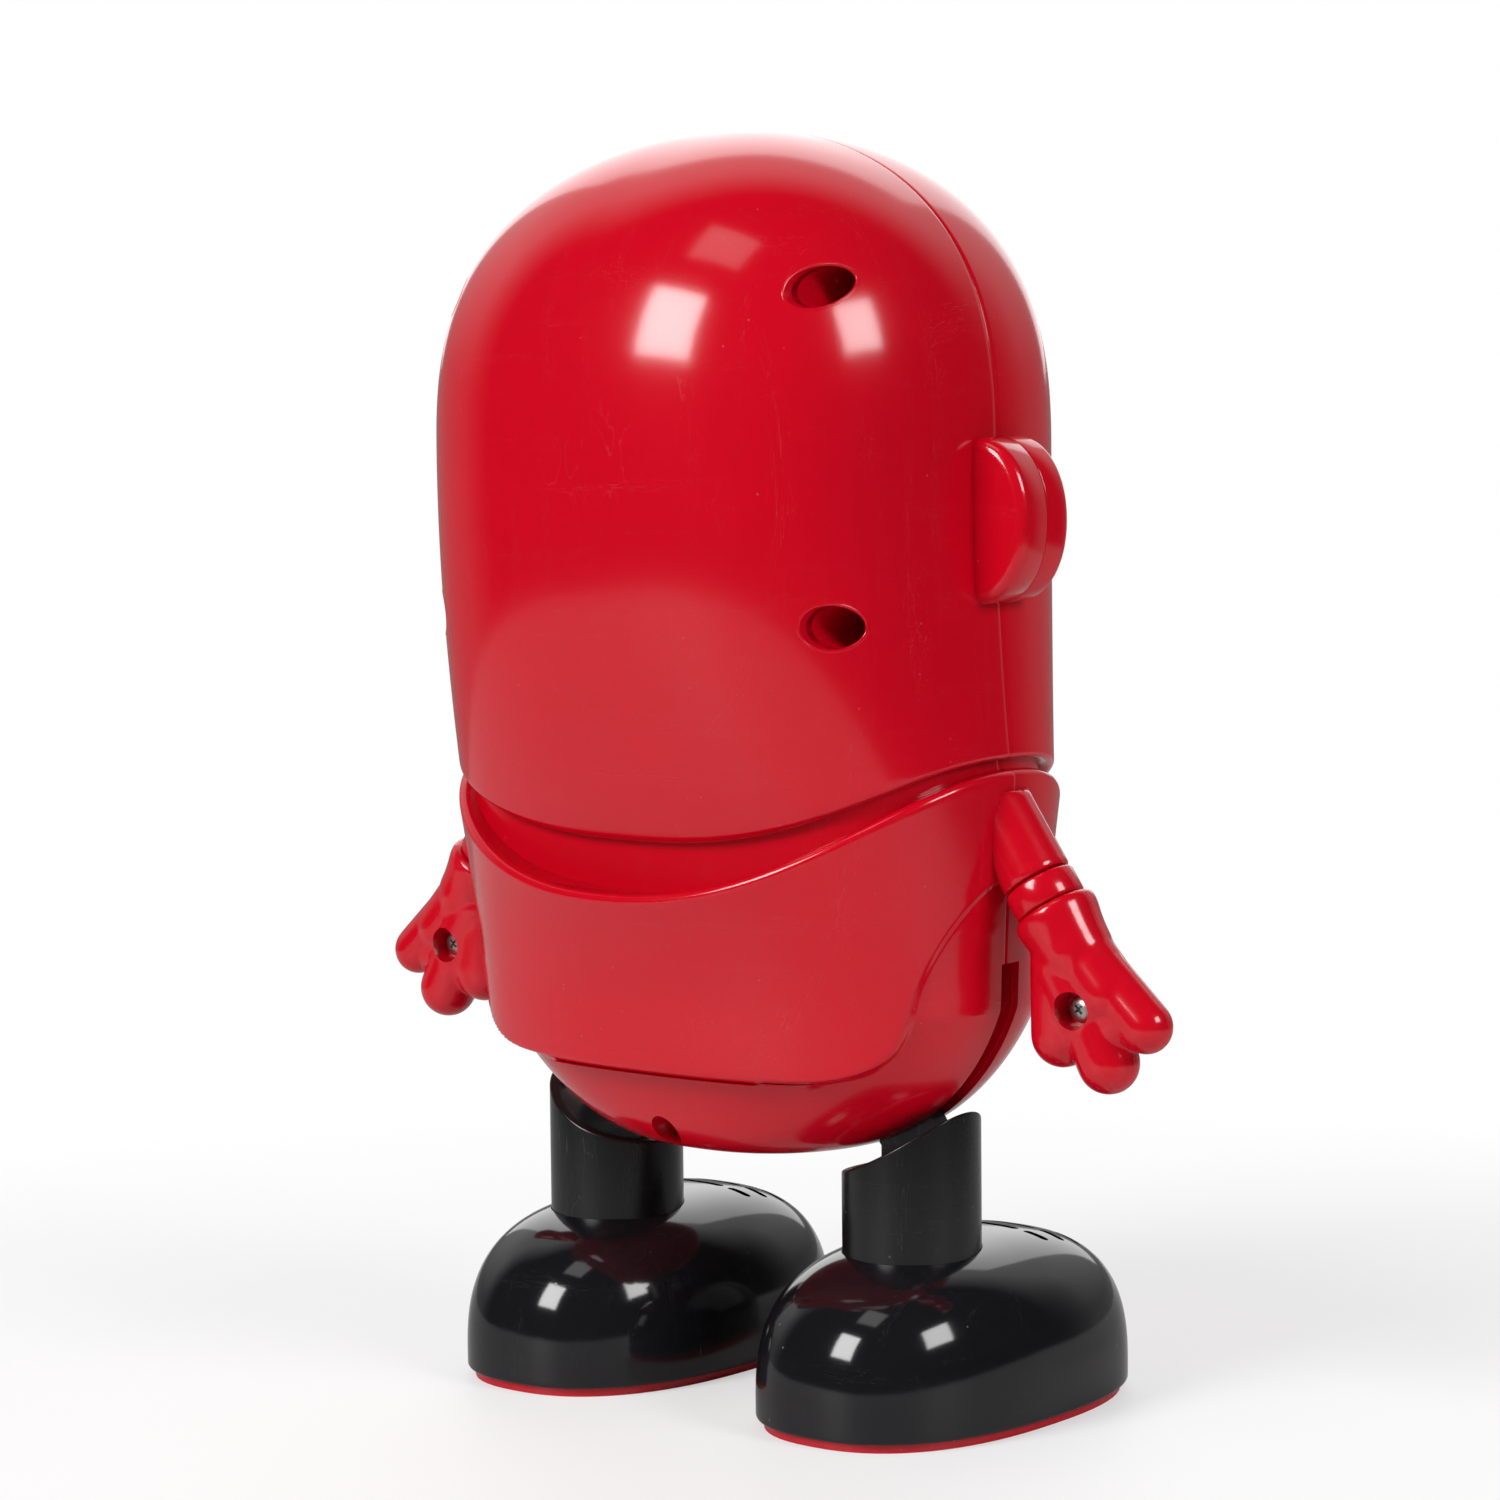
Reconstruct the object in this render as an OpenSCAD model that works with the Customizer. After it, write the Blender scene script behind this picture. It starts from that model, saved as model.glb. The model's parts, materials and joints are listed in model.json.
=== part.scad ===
// Dancing toy robot: two-part head-and-body shell, swinging legs and turning hands.
// Front is -Y, the robot's left is +X. The origin is on the floor, under the middle.

/* [Head] */
// Height of the whole robot
robot_h = 198.5; // [192:0.5:214]
// Width of the head without its ear pads
head_w = 94; // [88:1:100]
// Reach of the head behind the parting plane
head_back = 45; // [41:0.5:50]
// Reach of the head in front of the parting plane
head_front = 37; // [35:0.5:44]
// Height of the level where the head is widest
head_mid_z = 148.5; // [144:0.5:156]
// Height of the head's rim at its sides
head_rim_z = 103.1; // [102.6:0.1:105]
// How far the head's rim drops towards its middle
head_rim_drop = 12.5; // [8:0.5:14]
// Wall of the head and body shells
wall = 2; // [1.6:0.1:2.4]

/* [Ears and face] */
// Height of an ear pad
ear_h = 25; // [20:0.2:32]
// Width of an ear pad, front to back
ear_w = 12.4; // [10:0.2:18]
// Distance from the middle to an ear pad's face
ear_reach = 56.2; // [52:0.2:58]
// Height of the middle of the ear pads
ear_z = 139; // [134:1:146]
// Width of the visor
visor_w = 66; // [56:1:72]
// Height of the visor
visor_h = 40; // [30:1:46]
// Height of the middle of the visor
visor_z = 148; // [144:1:154]
// Spacing of the two eye lamps
eye_spacing = 30; // [24:1:38]

/* [Body] */
// Width of the body at its lip
torso_w = 98.6; // [97:0.2:100]
// Reach of the body's lip behind the parting plane
torso_back = 36.8; // [35.8:0.2:38]
// Reach of the body's lip in front of the parting plane
torso_front = 38.6; // [37.6:0.2:40]
// Height of the body's lip at its sides
lip_z = 101.5; // [100.5:0.1:101.9]
// How far the body's lip drops towards its middle
lip_drop = 18.5; // [14:0.5:20]
// How far the neck is set in from the head's rim
neck_inset = 2.2; // [2:0.1:3.6]
// How far the back panel stands proud
belt_proud = 1; // [0.6:0.1:1.4]
// Diameter of the chest lamp's lens
chest_lens_d = 12; // [9:0.5:14]
// Height of the chest lamp
chest_z = 72; // [70:1:74]

/* [Hips and drive] */
// Half the spacing of the hip pins
hip_x = 13; // [12:0.5:15]
// Height of the hip pins
hip_z = 77.5; // [76.5:0.5:79]
// Radius of the body's underside about a hip pin
hip_r = 37; // [36:0.5:37.5]
// How far a leg swings outwards
swing = 24; // [15:1:24]
// Diameter of a hip pin
hip_pin_d = 4; // [3:0.2:5]
// Thickness of a leg's arm
arm_t = 3.4; // [2.6:0.1:3.8]
// Tooth size (module) of the gears
gear_m = 0.8; // [0.75:0.05:0.8]
// Teeth of the full circle of a hip sector
hip_teeth = 40; // [38:2:42]
// Teeth of a small pinion
pinion_teeth = 10; // [10:1:11]
// Teeth of the large wheel of a compound gear
wheel_teeth = 32; // [28:1:32]
// Diameter of a motor
motor_d = 15.5; // [13:0.5:16]
// Length of a motor's can
motor_len = 16; // [13:0.5:16]
// Thickness of the gear case plates
plate_t = 2; // [1.6:0.1:2.4]

/* [Legs and shoes] */
// Distance of a leg's middle from the robot's middle
leg_x = 30; // [29:0.5:33]
// Diameter of a leg tube
tube_d = 21.6; // [19:0.2:23]
// Wall of a leg tube
tube_wall = 1.6; // [1.2:0.1:2]
// Width of a shoe
shoe_w = 44.4; // [42:0.2:47]
// Length of a shoe
shoe_len = 69.8; // [68:0.2:72]
// How far a shoe's middle lies in front of its leg
shoe_forward = 8.3; // [7.5:0.1:9.5]
// Height of a shoe's dome
shoe_h = 27; // [26:0.5:30]
// Wall of a shoe
shoe_wall = 1.8; // [1.4:0.1:2.2]
// Thickness of a sole below the shoe
sole_t = 1.4; // [1.2:0.1:2]
// How far a sole is set in from the shoe's edge
sole_inset = 1.2; // [0.6:0.1:1.4]
// Spacing of the rows of toe slots
slot_pitch = 4.4; // [3.6:0.1:5]
// Rows of toe slots
slot_rows = 4; // [2:1:5]
// Diameter of a battery cell
cell_d = 10.3; // [9.8:0.1:10.4]
// Length of a battery cell
cell_len = 44.5; // [42:0.5:45]

/* [Hands] */
// Lean of the arm's axis from upright
arm_lean = 34.4; // [32:0.2:37]
// How far the wrist's middle lies outside the body's lip
wrist_out = 4.9; // [4.5:0.1:7]
// Height of the wrist's middle
wrist_z = 84.7; // [84:0.1:86]
// Diameter of an arm sleeve
sleeve_d = 10.9; // [10.6:0.1:12]
// Diameter of a cuff ring
cuff_d = 11.2; // [11:0.1:12.5]
// Diameter of a finger
finger_d = 9.4; // [8.8:0.1:10]
// Diameter of a wrist post
post_d = 4.4; // [3.8:0.2:4.8]

/* [Fits] */
// Gap between pieces that move past each other
run_gap = 0.6; // [0.5:0.05:0.8]
// Gap round a screw, a lens or a pin that stays still
fit_gap = 0.1; // [0.05:0.01:0.15]
// Radial running fit of a pin in its bore
pin_fit = 0.05; // [0.03:0.01:0.08]
// Shank diameter of the screws
screw_d = 2.4; // [2:0.1:2.8]

/* [Hidden] */
eps = 0.01;
cols = 20;              // steps round half of a shell
head_n = 2.5;           // squareness of the head seen from above
torso_n = 2.3;          // squareness of the body seen from above
dome_p = 2.68;          // fullness of the head's dome
dome_q = 2.03;
flare = -0.06;          // the head widens slightly towards its rim
taper_back = 0.22;      // and draws in at the back and the front
taper_front = 0.15;
side_taper = 0.04;       // how the body draws in downwards, at its sides
depth_taper = 0.195;    // and at its back and front
flat_b = 12;            // half depth of the flat under the body
corner_p = 0.7;
belt_z = hip_z - 23.2;   // height of the back panel's lower edge
dome_span = robot_h - head_mid_z;

// Power that keeps the sign of its base
function spow(v, p) = sign(v) * pow(abs(v), p);
// Point of a superellipse
function super_pt(a, b, n, t) = [a * spow(cos(t), 2 / n), b * spow(sin(t), 2 / n)];
// Width of the head's dome and of its lower wall, as a share of the widest
function head_share(z, k) = z > head_mid_z
    ? pow(max(1 - pow(min((z - head_mid_z) / dome_span, 1), dome_p), 0), 1 / dome_q)
    : 1 - k * pow((head_mid_z - z) / 50, 2);

// One row of the shell: [kind, place, drop, inward step, lift of the inner side, panel].
// Kinds: 0 underside (place is an angle), 1 body wall, 2 neck, 3 head (place is a height).
belt_deg = acos((hip_z - belt_z) / hip_r);
side_deg = 70;          // where the underside's arc meets the body's wall
swell_deg = 32;         // from here on the underside swells out to the wall
swell = 4.1;
lip_in = 1.8;           // width of the lips that face each other across the neck
lip_round = 0.7;
wall_span = lip_z - hip_z;
head_span = head_mid_z - head_rim_z - 1;
shell_rows = concat(
    [[4, hip_z - hip_r, 0, 0, 0, 0]],
    [for (t = [0, 16, swell_deg, 44, belt_deg - 0.3]) [0, t, 0, 0, 0, 0]],
    [[0, belt_deg, 0, 1.6, 0, 1],
     [0, belt_deg + 2.6, 0, 0.4, 0, 1],
     [0, (belt_deg + side_deg) / 2, 0, 0, 0, 1],
     [0, side_deg, 0, 0, 0, 1],
     [1, hip_z - 4, 0, 0, 0, 1],
     [1, hip_z + 0.375 * wall_span, 0.39 * lip_drop, 0, 0, 1],
     [1, hip_z + 0.67 * wall_span, 0.69 * lip_drop, 0, 0, 1],
     [1, lip_z - 1.2, 0.98 * lip_drop, 0, 0, 1],
     [1, lip_z, lip_drop, lip_round, 1, 1],
     [1, lip_z - 0.05, lip_drop, lip_in, 1, 1],
     [2, lip_z - 0.15, lip_drop, 0, 1, 0],
     [2, head_rim_z + 0.15, head_rim_drop, 0, -1, 0],
     [3, head_rim_z + 0.05, head_rim_drop, lip_in, -1, 0],
     [3, head_rim_z, head_rim_drop, lip_round, -1, 0],
     [3, head_rim_z + 1, head_rim_drop + 0.1, 0, -0.6, 0]],
    [for (k = [0.17, 0.4, 0.7, 1]) [3, head_rim_z + 1 + k * head_span, head_rim_drop * (1 - k), 0, 0, 0]],
    [for (k = [1:9]) let (u = sin(9.6 * k)) [3, head_mid_z + dome_span * u, 0, 0, u * u, 0]],
    [[5, robot_h, 0, 0, 1, 0]]
);
// Share of the back panel's rise at a direction round the shell
function belt_share(t) = min(max((sin(t) - 0.42) / 0.16, 0), 1);
// Half width and depth of the body's wall at a height
function body_a(z) = torso_w / 2 - side_taper * (lip_z - z);
function body_b(z, side) = (side > 0 ? torso_back : torso_front) - depth_taper * (lip_z - z);
// Point of the shell: side is 1 behind the parting plane and -1 in front, t runs 0 to 180 round it
function shell_pt(row, t, side, inset) =
    let (
        kind = row[0],
        panel = side > 0 ? row[5] * belt_share(t) : 0,
        off = inset + (kind == 0 ? 0 : row[3] - belt_proud * panel) + (kind == 2 ? neck_inset : 0),
        z = row[1] - row[2] * pow(sin(t), 2),
        rim = head_rim_z - head_rim_drop * pow(sin(t), 2),
        level = kind == 2 ? rim : z - row[4] * inset
    )
    kind == 4 ? [0, 0, row[1] + inset]
    : kind == 5 ? [0, 0, row[1] - inset]
    : kind == 0 ? let (
        under_z = hip_z - (hip_r - off) * cos(row[1]),
        low_b = body_b(belt_z, side) - 1.5 - off,
        deep = flat_b + (low_b - flat_b) * pow(sin(row[1]), corner_p)
            + swell * pow(max(row[1] - swell_deg, 0) / (side_deg - swell_deg), 2),
        p = super_pt(hip_x + (hip_r - off) * sin(row[1]), deep, torso_n, t),
        proud = belt_proud - inset - row[3],
        q = super_pt(body_a(under_z) + proud, body_b(under_z, side) + proud, torso_n, t),
        r = p + (q - p) * panel
    ) [r[0], side * r[1], under_z]
    : let (
        head_a = head_w / 2 * head_share(level, flare),
        head_b = (side > 0 ? head_back : head_front) * head_share(level, side > 0 ? taper_back : taper_front),
        p = kind == 1 ? super_pt(body_a(row[1]) - off, body_b(row[1], side) - off, torso_n, t)
            : super_pt(head_a - off, head_b - off, head_n, t)
    ) [p[0], side * p[1], z - row[4] * inset];
function shell_grid(side, inset) =
    [for (r = shell_rows) [for (j = [0:cols]) shell_pt(r, 180 * j / cols, side, inset)]];
// Depth of the head's outer face at x and z, in front of the parting plane
function head_face_y(x, z, off) =
    let (a = head_w / 2 * head_share(z, flare) - off, b = head_front * head_share(z, taper_front) - off)
    -b * pow(max(1 - pow(min(abs(x) / a, 1), head_n), 0), 1 / head_n);

function distinct(t) = t[0] != t[1] && t[1] != t[2] && t[0] != t[2];
// Two triangles of a quad, turned over where flip is set
function quad(a, b, c, d, flip) =
    [for (t = flip ? [[a, c, b], [a, d, c]] : [[a, b, c], [a, c, d]]) if (distinct(t)) t];
function flat1(lists) = [for (l = lists) for (v = l) v];
// Index of a grid point: a row that has shrunk to a point uses its first
function grid_i(i, j, n, first, poles) = first + i * n + ((i == poles[0] || i == poles[1]) ? 0 : j);
function grid_faces(rows, n, first, poles, wrap, flip) = flat1([
    for (i = [0:rows - 2], j = [0:n - (wrap ? 1 : 2)]) let (k = wrap ? (j + 1) % n : j + 1)
        quad(grid_i(i, j, n, first, poles), grid_i(i, j + 1 > n - 1 ? k : j + 1, n, first, poles),
            grid_i(i + 1, k, n, first, poles), grid_i(i + 1, j, n, first, poles), flip)]);
// Wall between an outer and an inner grid that are open along their first and last columns
module half_wall(outer, inner, poles, flip) {
    rows = len(outer);
    n = len(outer[0]);
    total = rows * n;
    edges = flat1([for (i = [0:rows - 2], j = [0, n - 1])
        quad(grid_i(i, j, n, 0, poles), grid_i(i + 1, j, n, 0, poles),
            grid_i(i + 1, j, n, total, poles), grid_i(i, j, n, total, poles), (j == 0) == flip)]);
    ends = poles[0] >= 0 ? [] : flat1([for (i = [0, rows - 1], j = [0:n - 2])
        quad(i * n + j, i * n + j + 1, total + i * n + j + 1, total + i * n + j, (i == 0) != flip)]);
    polyhedron(concat(flat1(outer), flat1(inner)), concat(
        grid_faces(rows, n, 0, poles, false, flip),
        grid_faces(rows, n, total, poles, false, !flip), edges, ends));
}
// Solid inside a grid whose first row is a point, closed by the flat that joins its first and last columns
module half_solid(grid, flip) {
    rows = len(grid) - 1;
    n = len(grid[0]);
    poles = [-1, rows - 1];
    flat_side = flat1([for (i = [0:rows - 2])
        quad(grid_i(i, n - 1, n, 0, poles), grid_i(i, 0, n, 0, poles),
            grid_i(i + 1, 0, n, 0, poles), grid_i(i + 1, n - 1, n, 0, poles), flip)]);
    base = [for (j = [0:n - 1]) flip ? j : n - 1 - j];
    polyhedron(flat1([for (i = [1:rows]) grid[i]]), concat(
        grid_faces(rows, n, 0, poles, false, flip), flat_side, [base]));
}
// Wall of a dome: rows of closed rings from the open rim to the pole
module dome_wall(outer, inner, flip) {
    rows = len(outer);
    n = len(outer[0]);
    total = rows * n;
    poles = [rows - 1, rows - 1];
    rim = flat1([for (j = [0:n - 1]) let (k = (j + 1) % n) quad(j, total + j, total + k, k, flip)]);
    polyhedron(concat(flat1(outer), flat1(inner)), concat(
        grid_faces(rows, n, 0, poles, true, flip), grid_faces(rows, n, total, poles, true, !flip), rim));
}
// Solid through convex rings of as many points each
module loft(rings, flip) {
    n = len(rings[0]);
    rows = len(rings);
    cap0 = [for (j = [0:n - 1]) flip ? j : n - 1 - j];
    cap1 = [for (j = [0:n - 1]) (rows - 1) * n + (flip ? n - 1 - j : j)];
    polyhedron(flat1(rings), concat(grid_faces(rows, n, 0, [-1, -1], true, flip), [cap0, cap1]));
}
// A shape drawn in X and Z, from y0 backwards through a thickness
module in_xz(y0, t) {
    translate([0, y0 + t, 0]) rotate([90, 0, 0]) linear_extrude(t) children();
}
// A cylinder along Y from y0 through a length
module y_rod(d, y0, len) {
    translate([0, y0 + len, 0]) rotate([90, 0, 0]) cylinder(d = d, h = len, $fn = 48);
}
module on_right() {
    mirror([1, 0, 0]) children();
}
module both_sides() {
    children();
    on_right() children();
}
// Points of an arc about a centre
function arc_pts(r, from, to, steps) =
    [for (k = [0:steps]) let (t = from + (to - from) * k / steps) r * [cos(t), sin(t)]];

// ---- gears ----
press_deg = 25;
tooth_add = 0.8;        // shares of the module
tooth_ded = 1.05;
tooth_thin = 0.12;
function inv_deg(a) = tan(a) * 180 / PI - a;
function gear_r(teeth) = gear_m * teeth / 2;
// Half angle of a tooth at a radius
function tooth_half(teeth, r) = (PI / 2 - tooth_thin) * gear_m / (2 * gear_r(teeth)) * 180 / PI
    + inv_deg(press_deg) - inv_deg(acos(min(gear_r(teeth) * cos(press_deg) / r, 1)));
function tooth_pts(teeth, k) =
    let (
        base = gear_r(teeth) * cos(press_deg),
        root = gear_r(teeth) - tooth_ded * gear_m,
        tip = gear_r(teeth) + tooth_add * gear_m,
        start = max(base, root) + 0.02,
        rs = [for (s = [0, 0.35, 0.7, 1]) start + (tip - start) * s],
        flank = concat([[root, tooth_half(teeth, start) + 0.5]], [for (r = rs) [r, tooth_half(teeth, r)]]),
        mid = k * 360 / teeth
    )
    concat([for (f = flank) f[0] * [cos(mid - f[1]), sin(mid - f[1])]],
        [for (i = [len(flank) - 1:-1:0]) flank[i][0] * [cos(mid + flank[i][1]), sin(mid + flank[i][1])]]);
module gear_2d(teeth) {
    polygon([for (k = [0:teeth - 1]) each tooth_pts(teeth, k)]);
}
// Part of a gear, with its teeth from one angle to another
module sector_2d(teeth, from, to) {
    first = ceil(from * teeth / 360);
    last = floor(to * teeth / 360);
    polygon(concat([[0, 0]], [for (k = [first:last]) each tooth_pts(teeth, k)]));
}

// ---- places that pieces share ----
mesh_deg = 50;          // direction from a hip pin to its gear pin
motor_deg = 118;        // direction from a gear pin to its motor
hip_at = [hip_x, hip_z];
gear_at = hip_at + (gear_r(hip_teeth) + gear_r(pinion_teeth)) * [cos(mesh_deg), sin(mesh_deg)];
motor_at = gear_at + (gear_r(wheel_teeth) + gear_r(pinion_teeth)) * [cos(motor_deg), sin(motor_deg)];
arm_back = 0.4;         // the leg slot lies mostly in the front shell
arm_front = arm_back - arm_t;
sector_t = 4;
sector_end = arm_back + sector_t;
wheel_y = sector_end + run_gap;
wheel_t = 2.6;
plate_gap = 1.2;
back_plate_y = wheel_y + wheel_t + run_gap + 0.2;
front_plate_y = arm_front - plate_gap;
front_face = front_plate_y - plate_t;
back_face = back_plate_y + plate_t;
tube_top_r = hip_r + 3;  // radius about the hip pin that the tube tops follow
slot_w = arm_t + 2 * run_gap;
shoe_at = [leg_x, -shoe_forward];
screw_bore = screw_d + 2 * fit_gap;
head_d = 4.4;
head_t = 1.6;
// How far the screws hold in the piece behind
board_grip = 7;
shell_grip = 10;
case_grip = 11;
hand_grip = 4.8;
// Places of the screws that join the two shells, on the robot's left
head_screws = [[head_w / 2 - 11.7, robot_h - 24.7], [head_w / 2 - 8.5, head_rim_z + 21]];
foot_screw = [3, hip_z - 33.6];
recess_ds = [6.4, 6.6];
recess_ys = [14, 12];
foot_recess_y = 14;
boss_wall = 1.3;
// Screws through the gear case into the back shell
case_screws = [[0, hip_z - 11], [0, hip_z + 36], [36, hip_z + 33], [-36, hip_z + 33]];
board_y = front_face - 13.4;
board_t = 1.6;
board_w = 36;
board_h = 44;
board_drop = 11;        // how far the board reaches below the hip pins
board_screws_at = [[14, hip_z - 7], [-14, hip_z - 7], [14, hip_z + 29], [-14, hip_z + 29]];
panel_y = -head_front + 12.5;
panel_t = 1.5;
panel_pins = [[25, visor_z - 15], [-25, visor_z - 15], [25, visor_z + 15], [-25, visor_z + 15]];
lamp_d = 5;
panel_pin_d = 1.6;

// ---- screws ----
// A pan-head screw along Y whose head seats at y and points to the front
module screw_front(at, y, len) {
    translate([at[0], 0, at[1]]) difference() {
        union() {
            y_rod(head_d, y - head_t, head_t);
            y_rod(screw_d, y - eps, len);
        }
        for (turn = [0, 90]) translate([0, y - head_t, 0]) rotate([0, turn, 0])
            cube([2.4, 1.2, 0.6], center = true);
    }
}
// The same with its head to the back
module screw_back(at, y, len) {
    translate([0, 2 * y, 0]) mirror([0, 1, 0]) screw_front(at, y, len);
}

// ---- head and body shells ----
poles_all = [0, len(shell_rows) - 1];
ear_root = head_w / 2;
ear_round = 0.28;        // rounding of an ear pad's edges, as a share of half its width
wrist_x = torso_w / 2 + wrist_out;
sleeve_top = 19;
sleeve_foot = 0.35;
sleeve_drop = 3;         // how far below the body's lip a sleeve ends
module at_wrist() {
    translate([wrist_x, 0, wrist_z]) rotate([0, -arm_lean, 0]) children();
}
// The sleeve runs up into the body and ends under its lip
module sleeve() {
    intersection() {
        at_wrist() translate([0, 0, sleeve_foot])
            cylinder(d = sleeve_d, h = sleeve_top - sleeve_foot, $fn = 48);
        translate([0, -sleeve_d, 0]) cube([robot_h, 2 * sleeve_d, lip_z - sleeve_drop]);
    }
}
module sleeve_bore() {
    at_wrist() {
        translate([0, 0, sleeve_foot - 1])
            cylinder(d = post_d + 2 * pin_fit, h = post_top - post_head_t + 1, $fn = 48);
        translate([0, 0, post_top - post_head_t - fit_gap])
            cylinder(d = post_head_d + 2 * fit_gap, h = post_head_t + 1, $fn = 48);
    }
}
// Outline of an ear pad, seen from behind, at a depth from the parting plane
function ear_ring(y, inset, side) =
    [for (j = [0:18]) let (p = super_pt(ear_reach - ear_root - inset, ear_h / 2 - inset, 2.1, 10 * j - 90))
        [ear_root + p[0], side * y, ear_z + p[1]]];
module ear_half(side) {
    rings = [for (k = [[0, 0], [1 - ear_round, 0], [1 - 0.45 * ear_round, 0.13 * ear_round], [1, ear_round]])
        [for (p = ear_ring(k[0] * ear_w / 2, k[1] * ear_w / 2, side)) p]];
    root = head_w / 2 - 3;
    loft([for (r = rings) concat([[root, r[0][1], r[0][2]]], r, [[root, r[18][1], r[18][2]]])], side < 0);
}
slot_from = 77;         // start of a leg's slot, in degrees below level
slot_rib_t = 1.2;
module leg_slot() {
    in_xz(arm_front - run_gap, slot_w) translate(hip_at) polygon(concat(
        arc_pts(hip_r - 6, -slot_from, -9, 12), arc_pts(hip_r + 9, -9, -slot_from, 12)));
}
// Ribs inside the shell along both sides of a leg's slot
module slot_rib(y) {
    in_xz(y, slot_rib_t) translate(hip_at) polygon(concat(
        arc_pts(hip_r - 8, -slot_from, -4, 12), arc_pts(hip_r + 1, -4, -slot_from, 12)));
}
module half_space(side) {
    translate([-robot_h, side > 0 ? 0 : -robot_h, -robot_h]) cube([2 * robot_h, robot_h, 3 * robot_h]);
}
module back_bosses() {
    for (i = [0, 1]) both_sides() translate([head_screws[i][0], 0, head_screws[i][1]])
        y_rod(recess_ds[i] + 2 * boss_wall, 0, head_back);
    translate([foot_screw[0], 0, foot_screw[1]]) y_rod(screw_d + 4.4, 0, torso_back);
    for (at = case_screws) translate([at[0], 0, at[1]]) y_rod(screw_d + 4, back_face, head_back - back_face);
    both_sides() slot_rib(arm_back + run_gap);
}
module back_bores() {
    for (i = [0, 1]) both_sides() translate([head_screws[i][0], 0, head_screws[i][1]]) {
        y_rod(recess_ds[i], recess_ys[i], head_back);
        y_rod(screw_bore, -1, head_back);
    }
    translate([foot_screw[0], 0, foot_screw[1]]) {
        y_rod(screw_d + 2.6, foot_recess_y, torso_back);
        y_rod(screw_bore, -1, torso_back);
    }
    for (at = case_screws) translate([at[0], 0, at[1]]) y_rod(screw_bore, back_face - 1, 13);
}
module back_shell() {
    color([0.78, 0.06, 0.12]) difference() {
        union() {
            half_wall(shell_grid(1, 0), shell_grid(1, wall), poles_all, true);
            intersection() {
                half_solid(shell_grid(1, wall / 2), true);
                back_bosses();
            }
            both_sides() ear_half(1);
            both_sides() intersection() {
                sleeve();
                half_space(1);
            }
        }
        both_sides() leg_slot();
        both_sides() sleeve_bore();
        back_bores();
    }
}
module front_bosses() {
    for (at = head_screws) both_sides() translate([at[0], 0, at[1]])
        y_rod(screw_d + 4.4, -head_front, head_front);
    translate([foot_screw[0], 0, foot_screw[1]]) y_rod(screw_d + 4.4, -torso_front, torso_front);
    for (at = panel_pins) translate([at[0], 0, at[1]]) y_rod(5, -head_front, head_front + panel_y);
    both_sides() slot_rib(arm_front - run_gap - slot_rib_t);
}
// Visor outline: u and v run from -1 to 1 across and up
function visor_pt(u, v, extra) = [
    (visor_w / 2 + extra) * u * sqrt(1 - 0.3 * v * v),
    visor_z + (visor_h / 2 + extra) * v * sqrt(1 - 0.3 * u * u)
];
function visor_grid(extra, off, push) = [for (v = [-1:0.25:1]) [for (u = [-1:0.125:1])
    let (p = visor_pt(u, v, extra)) [p[0], head_face_y(p[0], p[1], off) - push, p[1]]]];
visor_depth = 1.2;
visor_proud = 0.5;
module visor_block(extra, push) {
    half_wall(visor_grid(extra, -visor_proud, push), visor_grid(extra, visor_depth + extra, 0), [-1, -1], true);
}
module visor_opening() {
    visor_block(fit_gap, 6);
    in_xz(-head_front - 2, 30) polygon([for (k = [0:39]) let (t = 9 * k, m = max(abs(cos(t)), abs(sin(t))))
        visor_pt(cos(t) / m, sin(t) / m, -2)]);
}
module front_shell() {
    color([0.78, 0.06, 0.12]) difference() {
        union() {
            half_wall(shell_grid(-1, 0), shell_grid(-1, wall), poles_all, false);
            intersection() {
                half_solid(shell_grid(-1, wall / 2), false);
                front_bosses();
            }
            both_sides() ear_half(-1);
            both_sides() intersection() {
                sleeve();
                half_space(-1);
            }
            for (at = panel_pins) translate([at[0], 0, at[1]]) y_rod(panel_pin_d, panel_y - 1, panel_t + 2);
        }
        both_sides() leg_slot();
        both_sides() sleeve_bore();
        for (at = head_screws) both_sides() translate([at[0], 0, at[1]]) y_rod(screw_bore, -13, 14);
        translate([foot_screw[0], 0, foot_screw[1]]) y_rod(screw_bore, -13, 14);
        visor_opening();
        in_chest() y_rod(chest_lens_d + 2 * fit_gap, -4, 8);
    }
}
module visor() {
    color([0.05, 0.05, 0.07]) visor_block(0, 0);
}
// On the chest's outer face, square to its slope
module in_chest() {
    translate([0, -body_b(chest_z, -1), chest_z]) rotate([atan(depth_taper), 0, 0]) children();
}
// The lens has a flange 1 mm thick, which sits behind the curved wall
lens_seat = -wall - 0.6;
lens_flange_r = chest_lens_d / 2 + 1.2;
module chest_lens() {
    color([0.9, 0.75, 0.25]) in_chest() rotate([90, 0, 0]) rotate_extrude($fn = 48)
        polygon(concat([[0, lens_seat - 1], [lens_flange_r, lens_seat - 1],
            [lens_flange_r, lens_seat], [chest_lens_d / 2, lens_seat]],
            [for (k = [0:6]) [chest_lens_d / 2 * cos(15 * k), 0.3 + sin(15 * k)]]));
}
module eye_panel() {
    color([0.1, 0.1, 0.11]) difference() {
        in_xz(panel_y, panel_t) polygon([for (k = [0:39])
            super_pt(visor_w / 2 - 3, visor_h / 2 + 1, 4, 9 * k) + [0, visor_z]]);
        for (at = panel_pins) translate([at[0], 0, at[1]])
            y_rod(panel_pin_d + 2 * fit_gap, panel_y - 1, panel_t + 2);
        both_sides() translate([eye_spacing / 2, 0, visor_z])
            y_rod(lamp_d + 2 * fit_gap, panel_y - 1, panel_t + 2);
    }
}
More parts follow.
